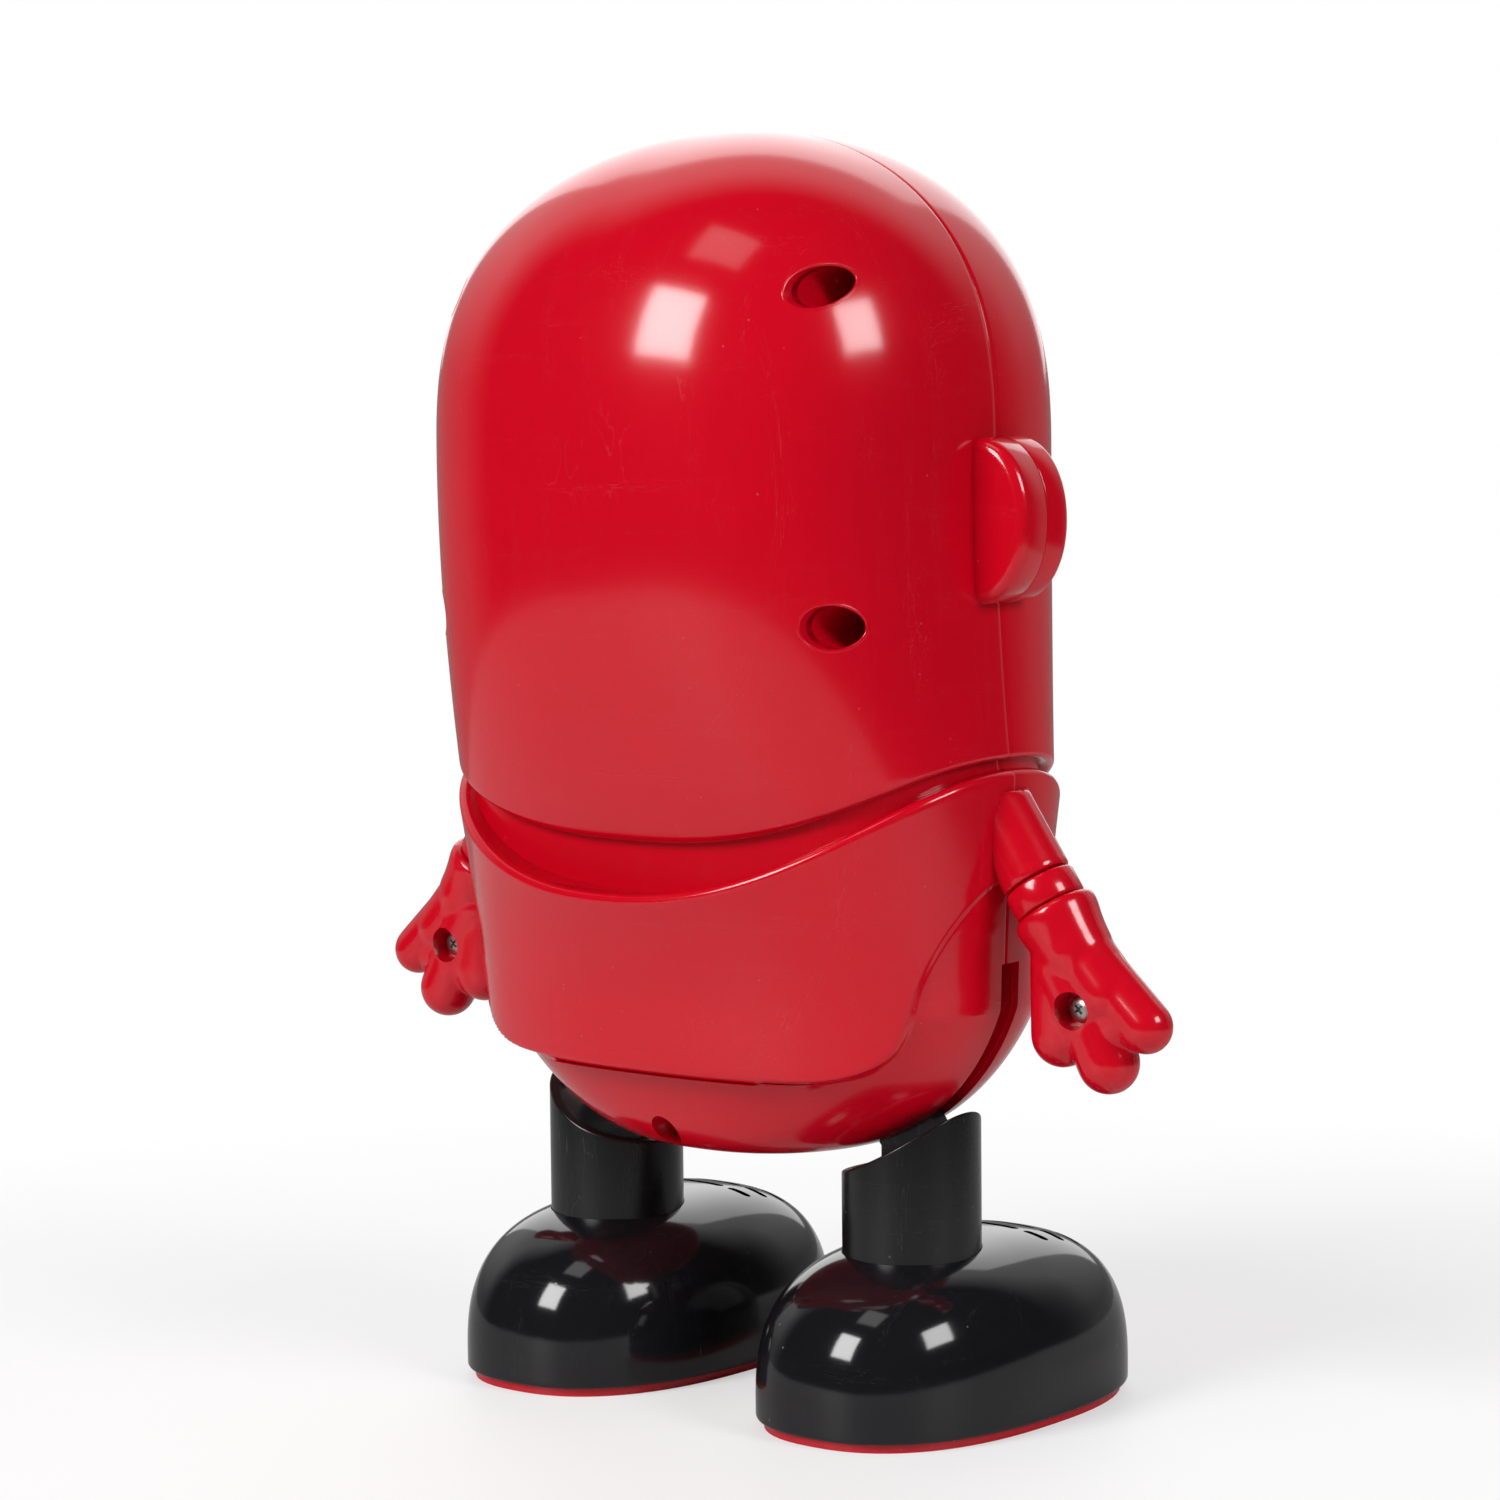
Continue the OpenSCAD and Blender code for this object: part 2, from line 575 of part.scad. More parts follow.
// A round-nosed lamp along Y with its collar's front face at y
module lamp(at, y) {
    translate([at[0], y, at[1]]) rotate([90, 0, 0]) rotate_extrude($fn = 48) polygon(concat(
        [[0, -1], [lamp_d / 2 + 0.4, -1], [lamp_d / 2 + 0.4, 0], [lamp_d / 2, 0]],
        [for (k = [0:6]) [lamp_d / 2 * cos(15 * k), 4 + lamp_d / 2 * sin(15 * k)]]));
}
module eye_lamps() {
    color("ivory") both_sides() lamp([eye_spacing / 2, visor_z], panel_y + panel_t);
}
module chest_lamp() {
    color("ivory") lamp([0, chest_z], board_y - board_t - 1);
}
module circuit_board() {
    color([0.1, 0.42, 0.2]) {
        difference() {
            translate([-board_w / 2, board_y - board_t, hip_z - board_drop])
                cube([board_w, board_t, board_h]);
            for (at = board_screws_at) translate([at[0], 0, at[1]])
                y_rod(screw_bore, board_y - board_t - 1, board_t + 2);
        }
        translate([-6, board_y - board_t - 2, hip_z + 8]) cube([12, 2 + eps, 12]);
        translate([-16, board_y - eps, hip_z + 2]) cube([10, 4, 6]);
        for (x = [8, 13]) translate([x, 0, hip_z + 12]) y_rod(4, board_y - eps, 7);
    }
}
module board_screws() {
    color("silver") for (at = board_screws_at) screw_front(at, board_y - board_t, board_t + board_grip);
}
module shell_screws() {
    color("silver") {
        for (i = [0, 1]) both_sides() screw_back(head_screws[i], recess_ys[i], recess_ys[i] + shell_grip);
        screw_back(foot_screw, foot_recess_y, foot_recess_y + shell_grip);
    }
}

// ---- gear case ----
module plate_2d() {
    hull() for (at = [[0, hip_z - 12, 6], [33, hip_z + 2, 5], [-33, hip_z + 2, 5], [36, hip_z + 33, 4.5],
        [-36, hip_z + 33, 4.5], [0, hip_z + 36, 6]])
        translate([at[0], at[1]]) circle(at[2], $fn = 32);
}
module case_bores(y, t) {
    for (at = case_screws) translate([at[0], 0, at[1]]) y_rod(screw_bore, y - 1, t + 2);
    both_sides() for (at = [hip_at, gear_at]) translate([at[0], 0, at[1]])
        y_rod(hip_pin_d + 2 * fit_gap, y - 1, t + 2);
}
module gearbox_front() {
    color([0.85, 0.85, 0.82]) difference() {
        union() {
            in_xz(front_face, plate_t) plate_2d();
            for (at = case_screws) translate([at[0], 0, at[1]])
                y_rod(screw_d + 3.6, front_plate_y - eps, back_plate_y - front_plate_y + eps);
            for (at = board_screws_at) translate([at[0], 0, at[1]])
                y_rod(screw_d + 3, board_y, front_face - board_y + eps);
        }
        case_bores(front_face, back_plate_y - front_face);
        for (at = board_screws_at) translate([at[0], 0, at[1]]) y_rod(screw_bore, board_y - 1, 9);
    }
}
module gearbox_back() {
    color([0.85, 0.85, 0.82]) difference() {
        union() {
            in_xz(back_plate_y, plate_t) plate_2d();
            both_sides() translate([motor_at[0], 0, motor_at[1]]) y_rod(motor_d + 3, back_face - eps, 6);
        }
        case_bores(back_plate_y, plate_t);
        both_sides() translate([motor_at[0], 0, motor_at[1]]) {
            y_rod(motor_d + 2 * fit_gap, back_face, 8);
            y_rod(6 + 2 * fit_gap, back_plate_y - 1, plate_t + 2);
        }
    }
}
module gearbox_screws() {
    color("silver") for (at = case_screws) screw_front(at, front_face, back_face - front_face + case_grip);
}
module case_pin(at) {
    color("silver") translate([at[0], 0, at[1]]) {
        y_rod(hip_pin_d, front_face - eps, back_face - front_face + eps);
        y_rod(hip_pin_d + 2, front_face - 1, 1);
    }
}
shaft_d = 2;
module motor() {
    color([0.7, 0.7, 0.72]) translate([motor_at[0], 0, motor_at[1]]) difference() {
        union() {
            y_rod(motor_d, back_face, motor_len);
            y_rod(6, back_plate_y + 0.3, plate_t);
            y_rod(6, back_face + motor_len - eps, 1);
        }
        y_rod(shaft_d + 2 * pin_fit, back_plate_y - 1, motor_len + plate_t + 4);
    }
}
module motor_pinion() {
    color([0.95, 0.93, 0.85]) translate([motor_at[0], 0, motor_at[1]]) {
        in_xz(wheel_y, wheel_t) rotate(motor_deg + 180 + 180 / pinion_teeth) gear_2d(pinion_teeth);
        y_rod(shaft_d, wheel_y - 1, back_face + motor_len - wheel_y);
    }
}
module compound_gear() {
    color([0.95, 0.93, 0.85]) translate([gear_at[0], 0, gear_at[1]]) difference() {
        union() {
            in_xz(arm_back + 0.3, wheel_y - arm_back)
                rotate(mesh_deg + 180 + 180 / pinion_teeth) gear_2d(pinion_teeth);
            in_xz(wheel_y, wheel_t) rotate(motor_deg) gear_2d(wheel_teeth);
            y_rod(gear_m * pinion_teeth - 2.4, front_plate_y + run_gap,
                arm_back + 1 - front_plate_y - run_gap);
        }
        y_rod(hip_pin_d + 2 * pin_fit, front_plate_y, back_plate_y - front_plate_y);
    }
}

// ---- legs ----
knee_z = 45.5;
arm_foot_z = 20.5;
arm_w = 11;
leg_pin_z = 23.5;
leg_pin_d = 3;
flange_z = 15.5;
module leg_arm_2d(extra) {
    hull() {
        translate(hip_at) circle(8 + extra, $fn = 48);
        translate([leg_x - 1.5, knee_z]) circle(arm_w / 2 + extra, $fn = 48);
    }
    hull() {
        translate([leg_x, knee_z - 2]) circle(arm_w / 2 + extra, $fn = 48);
        translate([leg_x, arm_foot_z + arm_w / 2]) circle(arm_w / 2 + extra, $fn = 48);
    }
}
module leg_arm() {
    color([0.13, 0.13, 0.14]) difference() {
        union() {
            in_xz(arm_front, arm_t) leg_arm_2d(0);
            translate([hip_x, 0, hip_z]) {
                in_xz(arm_back - eps, sector_t + eps) rotate(mesh_deg)
                    sector_2d(hip_teeth, -swing - 14, 14);
                y_rod(12, arm_back - eps, sector_t + eps);
                y_rod(8, front_plate_y + run_gap, back_plate_y - front_plate_y - 2 * run_gap);
            }
        }
        translate([hip_x, 0, hip_z])
            y_rod(hip_pin_d + 2 * pin_fit, front_plate_y, back_plate_y - front_plate_y);
        translate([leg_x, 0, leg_pin_z]) y_rod(leg_pin_d + 2 * fit_gap, arm_front - 1, arm_t + 2);
    }
}
module leg_tube() {
    color([0.07, 0.07, 0.075]) difference() {
        union() {
            translate([leg_x, 0, flange_z]) cylinder(d = tube_d, h = knee_z + 12 - flange_z, $fn = 64);
            translate([leg_x, 0, flange_z]) cylinder(d = tube_d + 2.4, h = 2, $fn = 64);
        }
        difference() {
            translate([leg_x, 0, flange_z - 1]) cylinder(d = tube_d - 2 * tube_wall, h = knee_z, $fn = 64);
            translate([hip_x, 0, hip_z]) y_rod(2 * (tube_top_r + tube_wall), -tube_d, 2 * tube_d);
        }
        translate([hip_x, 0, hip_z]) y_rod(2 * tube_top_r, -tube_d, 2 * tube_d);
        in_xz(arm_front - fit_gap, arm_t + 2 * fit_gap) leg_arm_2d(fit_gap);
        translate([leg_x, 0, leg_pin_z]) y_rod(leg_pin_d + 2 * fit_gap, -tube_d, 2 * tube_d);
    }
}
module leg_pin() {
    color("silver") translate([leg_x, 0, leg_pin_z]) y_rod(leg_pin_d, 0.3 - tube_d / 2, tube_d - 0.6);
}

// ---- shoes ----
shoe_n = 2.43;
shoe_foot_z = 4;
sole_lip = 0.8;         // thickness of the part of a sole that lies inside the shoe
plate_z = sole_t + sole_lip;
head_seat = 1.2;        // depth of the screw heads' recesses under a sole
box_wall = 1;
box_w = 2 * cell_d + 0.8;
box_len = cell_len + 5;
roof_z = plate_z + cell_d + 0.5;
roof_t = 1.2;
side_screw_x = 15.9;
toe_screw_y = 30;
door_screw_y = 28.9;
door_gap = 0.2;
function shoe_share(z, top) = z <= shoe_foot_z ? 1
    : pow(max(1 - pow(min((z - shoe_foot_z) / (top - shoe_foot_z), 1), 2.6), 0), 1 / 3.2);
shoe_steps = [0, 0.08, 0.24, 0.4, 0.54, 0.66, 0.76, 0.84, 0.9, 0.945, 0.975, 0.992, 1];
function shoe_ring(z, k, inset) = [for (j = [0:35])
    let (p = k * super_pt(shoe_w / 2 - inset, shoe_len / 2 - inset, shoe_n, 10 * j))
    [shoe_at[0] + p[0], shoe_at[1] + p[1], z]];
// Rings of the shoe's dome, from the sole to the top
function shoe_rings(inset) = let (top = shoe_h - inset) [for (s = shoe_steps)
    let (z = sole_t + (top - sole_t) * s) shoe_ring(z, s == 1 ? 0 : shoe_share(z, top), inset)];
module in_shoe() {
    translate([shoe_at[0], shoe_at[1], 0]) children();
}
module toe_slot(x, y, w) {
    translate([x - w / 2, y - 0.8, shoe_h / 2]) cube([w, 1.6, shoe_h]);
}
module toe_slots() {
    for (k = [0:slot_rows - 1]) {
        y = -12 - slot_pitch * k;
        toe_slot(0, y, 11);
        for (x = [-9, 9]) toe_slot(x, y, 4.4);
    }
}
shoe_screws_at = [[-side_screw_x, 0], [side_screw_x, 0], [0, -toe_screw_y]];
boss_d = screw_d + 3.2;
boss_h = 10;
rib_t = 1.6;
module shoe_bosses() {
    for (at = shoe_screws_at) translate([at[0], at[1], plate_z]) cylinder(d = boss_d, h = boss_h, $fn = 32);
    for (side = [0, 180]) rotate(side)
        translate([side_screw_x, -rib_t / 2, plate_z]) cube([shoe_w / 2 - 1.4 - side_screw_x, rib_t, boss_h]);
    translate([-rib_t / 2, 1.6 - shoe_len / 2, plate_z])
        cube([rib_t, shoe_len / 2 - 1.6 - toe_screw_y, boss_h]);
}
module shoe_upper() {
    color([0.03, 0.03, 0.035]) difference() {
        union() {
            dome_wall(shoe_rings(0), shoe_rings(shoe_wall), true);
            in_shoe() shoe_bosses();
            translate([leg_x, 0, flange_z + 2]) cylinder(d = tube_d + 4.2, h = 6.2, $fn = 64);
        }
        in_shoe() {
            toe_slots();
            for (at = shoe_screws_at) translate([at[0], at[1], plate_z - 1])
                cylinder(d = screw_bore, h = 9, $fn = 32);
        }
        translate([leg_x, 0, flange_z + 1]) cylinder(d = tube_d + 2 * fit_gap, h = shoe_h, $fn = 64);
    }
}
module sole_2d(extra) {
    polygon([for (j = [0:71]) super_pt(shoe_w / 2 + extra, shoe_len / 2 + extra, shoe_n, 5 * j)]);
}
// A screw's way up through the sole, with the recess for its head
module sole_hole() {
    translate([0, 0, -1]) {
        cylinder(d = screw_bore, h = plate_z + 2, $fn = 32);
        cylinder(d = head_d + 0.6, h = 1 + head_seat, $fn = 32);
    }
}
tab_w = 8;
tab_end = door_screw_y + 3.2;
pillar_h = 7;
module sole(with_switch) {
    color([0.72, 0.05, 0.1]) in_shoe() difference() {
        union() {
            linear_extrude(sole_t) sole_2d(-sole_inset);
            linear_extrude(plate_z) sole_2d(-shoe_wall - fit_gap);
            translate([-box_w / 2 - box_wall, -box_len / 2 - box_wall, plate_z - eps])
                cube([box_w + 2 * box_wall, box_len + 2 * box_wall, roof_z + roof_t - plate_z]);
            translate([0, door_screw_y, plate_z - eps]) cylinder(d = boss_d, h = pillar_h, $fn = 32);
            translate([-1.5, box_len / 2, plate_z - eps]) cube([3, door_screw_y - box_len / 2, pillar_h]);
            for (x = [-7.6, 7.6], y = [shoe_forward - 7.6, shoe_forward + 7.6])
                translate([x, y, roof_z + roof_t - 2 * eps])
                    cylinder(d = 3, h = flange_z - roof_z - roof_t + 2 * eps, $fn = 24);
        }
        translate([-box_w / 2, -box_len / 2, -1]) cube([box_w, box_len, roof_z + 1]);
        translate([-tab_w / 2, 0, -1]) cube([tab_w, tab_end, plate_z + 1]);
        translate([0, door_screw_y, 0]) cylinder(d = screw_bore, h = plate_z + pillar_h - 0.6, $fn = 32);
        for (at = shoe_screws_at) translate([at[0], at[1], 0]) sole_hole();
        if (with_switch) translate([switch_at[0] - switch_slot[0] / 2, switch_at[1] - switch_slot[1] / 2, -1])
            cube([switch_slot[0], switch_slot[1], plate_z + 2]);
    }
}
door_z = 0.2;           // the door is set up a little from the floor
module battery_door() {
    color([0.72, 0.05, 0.1]) in_shoe() difference() {
        union() {
            translate([door_gap - box_w / 2, door_gap - box_len / 2, door_z])
                cube([box_w - 2 * door_gap, box_len - 2 * door_gap, plate_z - door_z]);
            translate([door_gap - tab_w / 2, 0, door_z])
                cube([tab_w - 2 * door_gap, tab_end - door_gap, plate_z - door_z]);
        }
        translate([0, door_screw_y, 0]) sole_hole();
        for (k = [0:3]) translate([-5, 12 + 2.4 * k, 0]) cube([10, 1, 0.6]);
    }
}
// A low pan-head screw that points up from the sole, its head sunk in the sole
module pan_up(at) {
    translate([at[0], at[1], 0]) difference() {
        union() {
            translate([0, 0, door_z]) cylinder(d = head_d, h = head_seat - door_z, $fn = 32);
            translate([0, 0, door_z + eps]) cylinder(d = screw_d, h = plate_z + 5.6, $fn = 32);
        }
        for (turn = [0, 90]) rotate(turn) translate([-1.2, -0.3, 0]) cube([2.4, 0.6, 0.55]);
    }
}
module shoe_screws() {
    color("silver") in_shoe() for (at = concat(shoe_screws_at, [[0, door_screw_y]])) pan_up(at);
}
// A cell's middle, across from the shoe's middle and up
cell_at = [cell_d / 2 + 0.15, plate_z + cell_d / 2 + 0.1];
module batteries() {
    in_shoe() for (side = [-1, 1]) {
        color([0.2, 0.35, 0.65]) translate([side * cell_at[0], 0, cell_at[1]]) rotate([side * 90, 0, 0])
            rotate_extrude($fn = 48) polygon([
                [0, -cell_len / 2 + 0.8], [cell_d / 2 - 0.4, -cell_len / 2 + 0.8],
                [cell_d / 2, -cell_len / 2 + 1.2], [cell_d / 2, cell_len / 2 - 1.2],
                [cell_d / 2 - 0.4, cell_len / 2 - 0.8], [1.9, cell_len / 2 - 0.8],
                [1.9, cell_len / 2], [0, cell_len / 2]]);
    }
}
module battery_contacts() {
    color("silver") in_shoe() for (end = [-1, 1]) {
        translate([-cell_d + 0.3, end > 0 ? box_len / 2 - 0.5 : -box_len / 2 + 0.1, plate_z + 0.6])
            cube([2 * cell_d - 0.6, 0.4, cell_d - 1]);
        for (side = [-1, 1]) translate([side * cell_at[0], end * (box_len / 2 - 0.5), cell_at[1]])
            rotate([end * 90, 0, 0]) {
                if (side == end) cylinder(d1 = 7, d2 = 4, h = (box_len - cell_len) / 2 + 0.2, $fn = 32);
                else cylinder(d1 = 5, d2 = 4, h = (box_len - cell_len) / 2 - 0.6, $fn = 32);
            }
    }
}
switch_w = 4.6;
switch_len = 9.4;
switch_h = 5;
switch_travel = 3.2;
knob_w = 2.8;
knob_len = 3.6;
switch_slot = [knob_w + 0.6, knob_len + switch_travel + 0.6];
// The switch stands midway between the battery box and the shoe's side
switch_at = [(box_w / 2 + box_wall + shoe_w / 2 - shoe_wall) / 2 - 0.75, 12.5];
module power_switch_case() {
    color([0.1, 0.1, 0.11]) in_shoe() translate([switch_at[0], switch_at[1], 0]) difference() {
        translate([-switch_w / 2, -switch_len / 2, plate_z]) cube([switch_w, switch_len, switch_h]);
        translate([-switch_slot[0] / 2, -switch_slot[1] / 2, plate_z - 1])
            cube([switch_slot[0], switch_slot[1], 4]);
    }
}
module power_switch_knob() {
    color([0.85, 0.85, 0.85]) in_shoe() translate([switch_at[0], switch_at[1], 0]) union() {
        translate([-knob_w / 2, 0.3 - switch_slot[1] / 2, 0.6]) cube([knob_w, knob_len, plate_z + 1.8]);
        for (k = [0:2]) translate([-knob_w / 2, 0.6 - switch_slot[1] / 2 + 1.2 * k, 0.4])
            cube([knob_w, 0.5, 0.3]);
    }
}
module speaker() {
    color([0.3, 0.3, 0.32]) in_shoe() translate([0, -16.4, roof_z + roof_t]) rotate_extrude($fn = 48)
        polygon([[0, 0], [5, 0], [5, 1.8], [8, 2.6], [8.6, 2.6],
            [8.6, 3.8], [7.6, 3.8], [6, 3], [2, 3], [0, 3.6]]);
}

// ---- hands: x runs outwards and z up the arm ----
cuff_h = 4.3;
glove_top = -cuff_h - 0.2;
glove_wall = 1.5;
palm_at = [-2.8, -20];  // place of the hand's screw
post_top = 9;
post_head_t = 1.6;
post_head_d = post_d + 2.4;
post_foot = -12;
hand_recess_d = 6;
hand_seat = 1;
// Fingers: root across and down, tip across and down, diameter as a share of a finger's
fingers = [[-2.9, -14.5, -9.8, -20.6, 0.92], [-2.3, -17, -4.3, -28.8, 1], [0.4, -15.5, 4.6, -27.5, 0.87],
    [-1.2, -14, 1.1, -23.5, 0.96]];
// A turned rod with both ends round, from point to point in X and Z
module round_rod(p, d) {
    len = norm([p[2] - p[0], p[3] - p[1]]);
    lean = atan2(p[2] - p[0], p[3] - p[1]);
    translate([p[0], 0, p[1]]) rotate([0, lean, 0]) rotate_extrude($fn = 48) polygon(concat(
        [for (k = [0:6]) d / 2 * [sin(15 * k), -cos(15 * k)]],
        [for (k = [0:6]) d / 2 * [cos(15 * k), sin(15 * k)] + [0, len]]));
}
module hand_shape(inset) {
    for (f = fingers) round_rod(f, finger_d * f[4] - 2 * inset);
    round_rod([palm_at[0] + 0.7, palm_at[1] + 7, palm_at[0] - 0.2, palm_at[1]], 1.15 * finger_d - 2 * inset);
    rotate_extrude($fn = 64) polygon([[0, glove_top - inset], [cuff_d / 2 + 0.6 - inset, glove_top - inset],
        [cuff_d / 2 + 1.2 - inset, glove_top - 1.2 - inset], [cuff_d / 2 + 0.9 - inset, glove_top - 4],
        [cuff_d / 2 + 0.5 - inset, glove_top - 9], [0, glove_top - 13]]);
}
module glove_half(side) {
    color([0.78, 0.06, 0.12]) at_wrist() difference() {
        intersection() {
            difference() {
                hand_shape(0);
                difference() {
                    hand_shape(glove_wall);
                    translate([0, 0, post_foot - 4])
                        cylinder(d = post_d + 5, h = glove_top - post_foot + 4, $fn = 48);
                    translate([palm_at[0], 0, palm_at[1]]) y_rod(screw_d + 4, -finger_d, 2 * finger_d);
                }
            }
            half_space(side);
        }
        translate([0, 0, post_foot]) cylinder(d = post_d + 2 * fit_gap, h = 20, $fn = 48);
        translate([0, 0, post_foot - post_head_t - fit_gap])
            cylinder(d = post_head_d + 2 * fit_gap, h = post_head_t + 2 * fit_gap, $fn = 48);
        translate([palm_at[0], 0, palm_at[1]]) {
            y_rod(screw_bore, -4, 14);
            y_rod(hand_recess_d, hand_seat, 14);
        }
    }
}
module cuff() {
    color([0.78, 0.06, 0.12]) at_wrist() rotate_extrude($fn = 64) polygon([
        [post_d / 2 + fit_gap, -cuff_h], [cuff_d / 2 - 0.4, -cuff_h], [cuff_d / 2, 0.4 - cuff_h],
        [cuff_d / 2, -0.4], [cuff_d / 2 - 0.4, 0], [post_d / 2 + fit_gap, 0]]);
}
module hand_post() {
    color("silver") at_wrist() {
        translate([0, 0, post_foot]) cylinder(d = post_d, h = post_top - post_foot, $fn = 48);
        translate([0, 0, post_top - post_head_t]) cylinder(d = post_head_d, h = post_head_t, $fn = 48);
        translate([0, 0, post_foot - post_head_t]) cylinder(d = post_head_d, h = post_head_t + eps, $fn = 48);
    }
}
module hand_screw() {
    color("silver") at_wrist() screw_back(palm_at, hand_seat, hand_grip);
}

back_shell();
front_shell();
visor();
chest_lens();
eye_panel();
eye_lamps();
chest_lamp();
circuit_board();
board_screws();
shell_screws();
gearbox_front();
gearbox_back();
gearbox_screws();
case_pin(hip_at);  // left_hip_pin
on_right() case_pin(hip_at);  // right_hip_pin
case_pin(gear_at);  // left_gear_pin
on_right() case_pin(gear_at);  // right_gear_pin
motor();  // left_motor
on_right() motor();  // right_motor
motor_pinion();  // left_motor_pinion
on_right() motor_pinion();  // right_motor_pinion
compound_gear();  // left_compound_gear
on_right() compound_gear();  // right_compound_gear
leg_arm();  // left_leg_arm
on_right() leg_arm();  // right_leg_arm
leg_tube();  // left_leg_tube
on_right() leg_tube();  // right_leg_tube
leg_pin();  // left_leg_pin
on_right() leg_pin();  // right_leg_pin
shoe_upper();  // left_shoe_upper
on_right() shoe_upper();  // right_shoe_upper
sole(true);  // left_sole
on_right() sole(false);  // right_sole
battery_door();  // left_battery_door
on_right() battery_door();  // right_battery_door
shoe_screws();  // left_shoe_screws
on_right() shoe_screws();  // right_shoe_screws
batteries();  // left_batteries
on_right() batteries();  // right_batteries
battery_contacts();  // left_battery_contacts
on_right() battery_contacts();  // right_battery_contacts
power_switch_case();
power_switch_knob();
on_right() speaker();
cuff();  // left_cuff
on_right() cuff();  // right_cuff
glove_half(1);  // left_glove_back
on_right() glove_half(1);  // right_glove_back
glove_half(-1);  // left_glove_front
on_right() glove_half(-1);  // right_glove_front
hand_post();  // left_hand_post
on_right() hand_post();  // right_hand_post
hand_screw();  // left_hand_screw
on_right() hand_screw();  // right_hand_screw
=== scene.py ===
import json
from functools import partial
from math import acos, cos, degrees, pi, radians, sin, sqrt
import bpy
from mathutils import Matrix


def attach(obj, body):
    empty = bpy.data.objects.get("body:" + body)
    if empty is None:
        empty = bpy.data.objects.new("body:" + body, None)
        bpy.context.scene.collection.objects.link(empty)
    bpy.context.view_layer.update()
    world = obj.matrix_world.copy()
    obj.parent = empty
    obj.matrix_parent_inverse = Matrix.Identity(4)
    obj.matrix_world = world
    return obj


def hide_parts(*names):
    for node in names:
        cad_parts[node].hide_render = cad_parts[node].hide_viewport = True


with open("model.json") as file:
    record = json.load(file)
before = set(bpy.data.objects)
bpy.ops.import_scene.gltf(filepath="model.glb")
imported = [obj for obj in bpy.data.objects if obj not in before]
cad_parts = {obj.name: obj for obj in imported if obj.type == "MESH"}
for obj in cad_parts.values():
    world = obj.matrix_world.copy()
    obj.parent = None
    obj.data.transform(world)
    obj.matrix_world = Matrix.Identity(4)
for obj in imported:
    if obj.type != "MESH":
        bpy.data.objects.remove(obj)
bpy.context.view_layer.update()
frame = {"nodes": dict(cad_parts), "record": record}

from types import SimpleNamespace

import bmesh
import bpy
import numpy as np
from bpy.props import FloatProperty, FloatVectorProperty, IntProperty, PointerProperty
from bpy.types import Operator, Panel, PropertyGroup
from mathutils import Matrix, Vector

bl_info = {
    "name": "Dancing toy robot",
    "version": (1, 0, 0),
    "blender": (4, 5, 0),
    "location": "View3D > Sidebar > Toy robot",
    "description": "Moulded shells, mitt hands, domed shoes and finishes of a dancing toy robot",
    "category": "Object",
}

MM = 0.001
SIDES = {"left": 1, "right": -1}


# ---- settings ----
def length(name, text, mm):
    return FloatProperty(name=name, description=text, default=mm * MM, min=0.0, precision=5, unit="LENGTH")


def share(name, text, value):
    return FloatProperty(name=name, description=text, default=value, min=0.0, max=1.0)


def angle(name, text, value):
    return FloatProperty(name=name, description=text, default=radians(value), subtype="ANGLE", unit="ROTATION")


def colour(name, text, rgb):
    return FloatVectorProperty(name=name, description=text, default=rgb, size=3, min=0.0, max=1.0,
                               subtype="COLOR")


class ROBOT_PG_shell(PropertyGroup):
    height: length("Height", "Height of the whole robot", 198.5)
    head_width: length("Head width", "Width of the head without its ear pads", 94)
    head_back: length("Head back", "Reach of the head behind the parting plane", 45)
    head_front: length("Head front", "Reach of the head in front of the parting plane", 37)
    head_mid: length("Widest level", "Height of the level where the head is widest", 148.5)
    rim: length("Head rim", "Height of the head's rim at its sides", 103.1)
    rim_drop: length("Rim drop", "How far the head's rim drops towards its middle", 12.5)
    body_width: length("Body width", "Width of the body at its lip", 98.6)
    body_back: length("Body back", "Reach of the body's lip behind the parting plane", 36.8)
    body_front: length("Body front", "Reach of the body's lip in front of the parting plane", 38.6)
    lip: length("Body lip", "Height of the body's lip at its sides", 101.5)
    lip_drop: length("Lip drop", "How far the body's lip drops towards its middle", 18.5)
    neck_inset: length("Neck inset", "How far the neck is set in from the head's rim", 2.2)
    panel_rise: length("Panel rise", "How far the back panel stands proud", 1.0)
    hip: length("Hip height", "Height of the hip pins", 77.5)
    hip_spacing: length("Hip place", "Half the spacing of the hip pins", 13)
    hip_radius: length("Underside radius", "Radius of the body's underside about a hip pin", 37)
    wall: length("Wall", "Wall of the shells", 2)
    seam: length("Parting groove", "Depth of the groove where the shells meet", 0.22)
    ear_height: length("Ear height", "Height of an ear pad", 25)
    ear_width: length("Ear width", "Width of an ear pad", 12.4)
    ear_reach: length("Ear reach", "Distance from the middle to an ear pad's face", 56.2)
    ear_level: length("Ear level", "Height of the middle of the ear pads", 139)


class ROBOT_PG_face(PropertyGroup):
    visor_width: length("Visor width", "Width of the visor", 66)
    visor_height: length("Visor height", "Height of the visor", 40)
    visor_level: length("Visor level", "Height of the middle of the visor", 148)
    lens: length("Chest lens", "Diameter of the chest lamp's lens", 12)
    lens_level: length("Lens level", "Height of the chest lamp", 72)


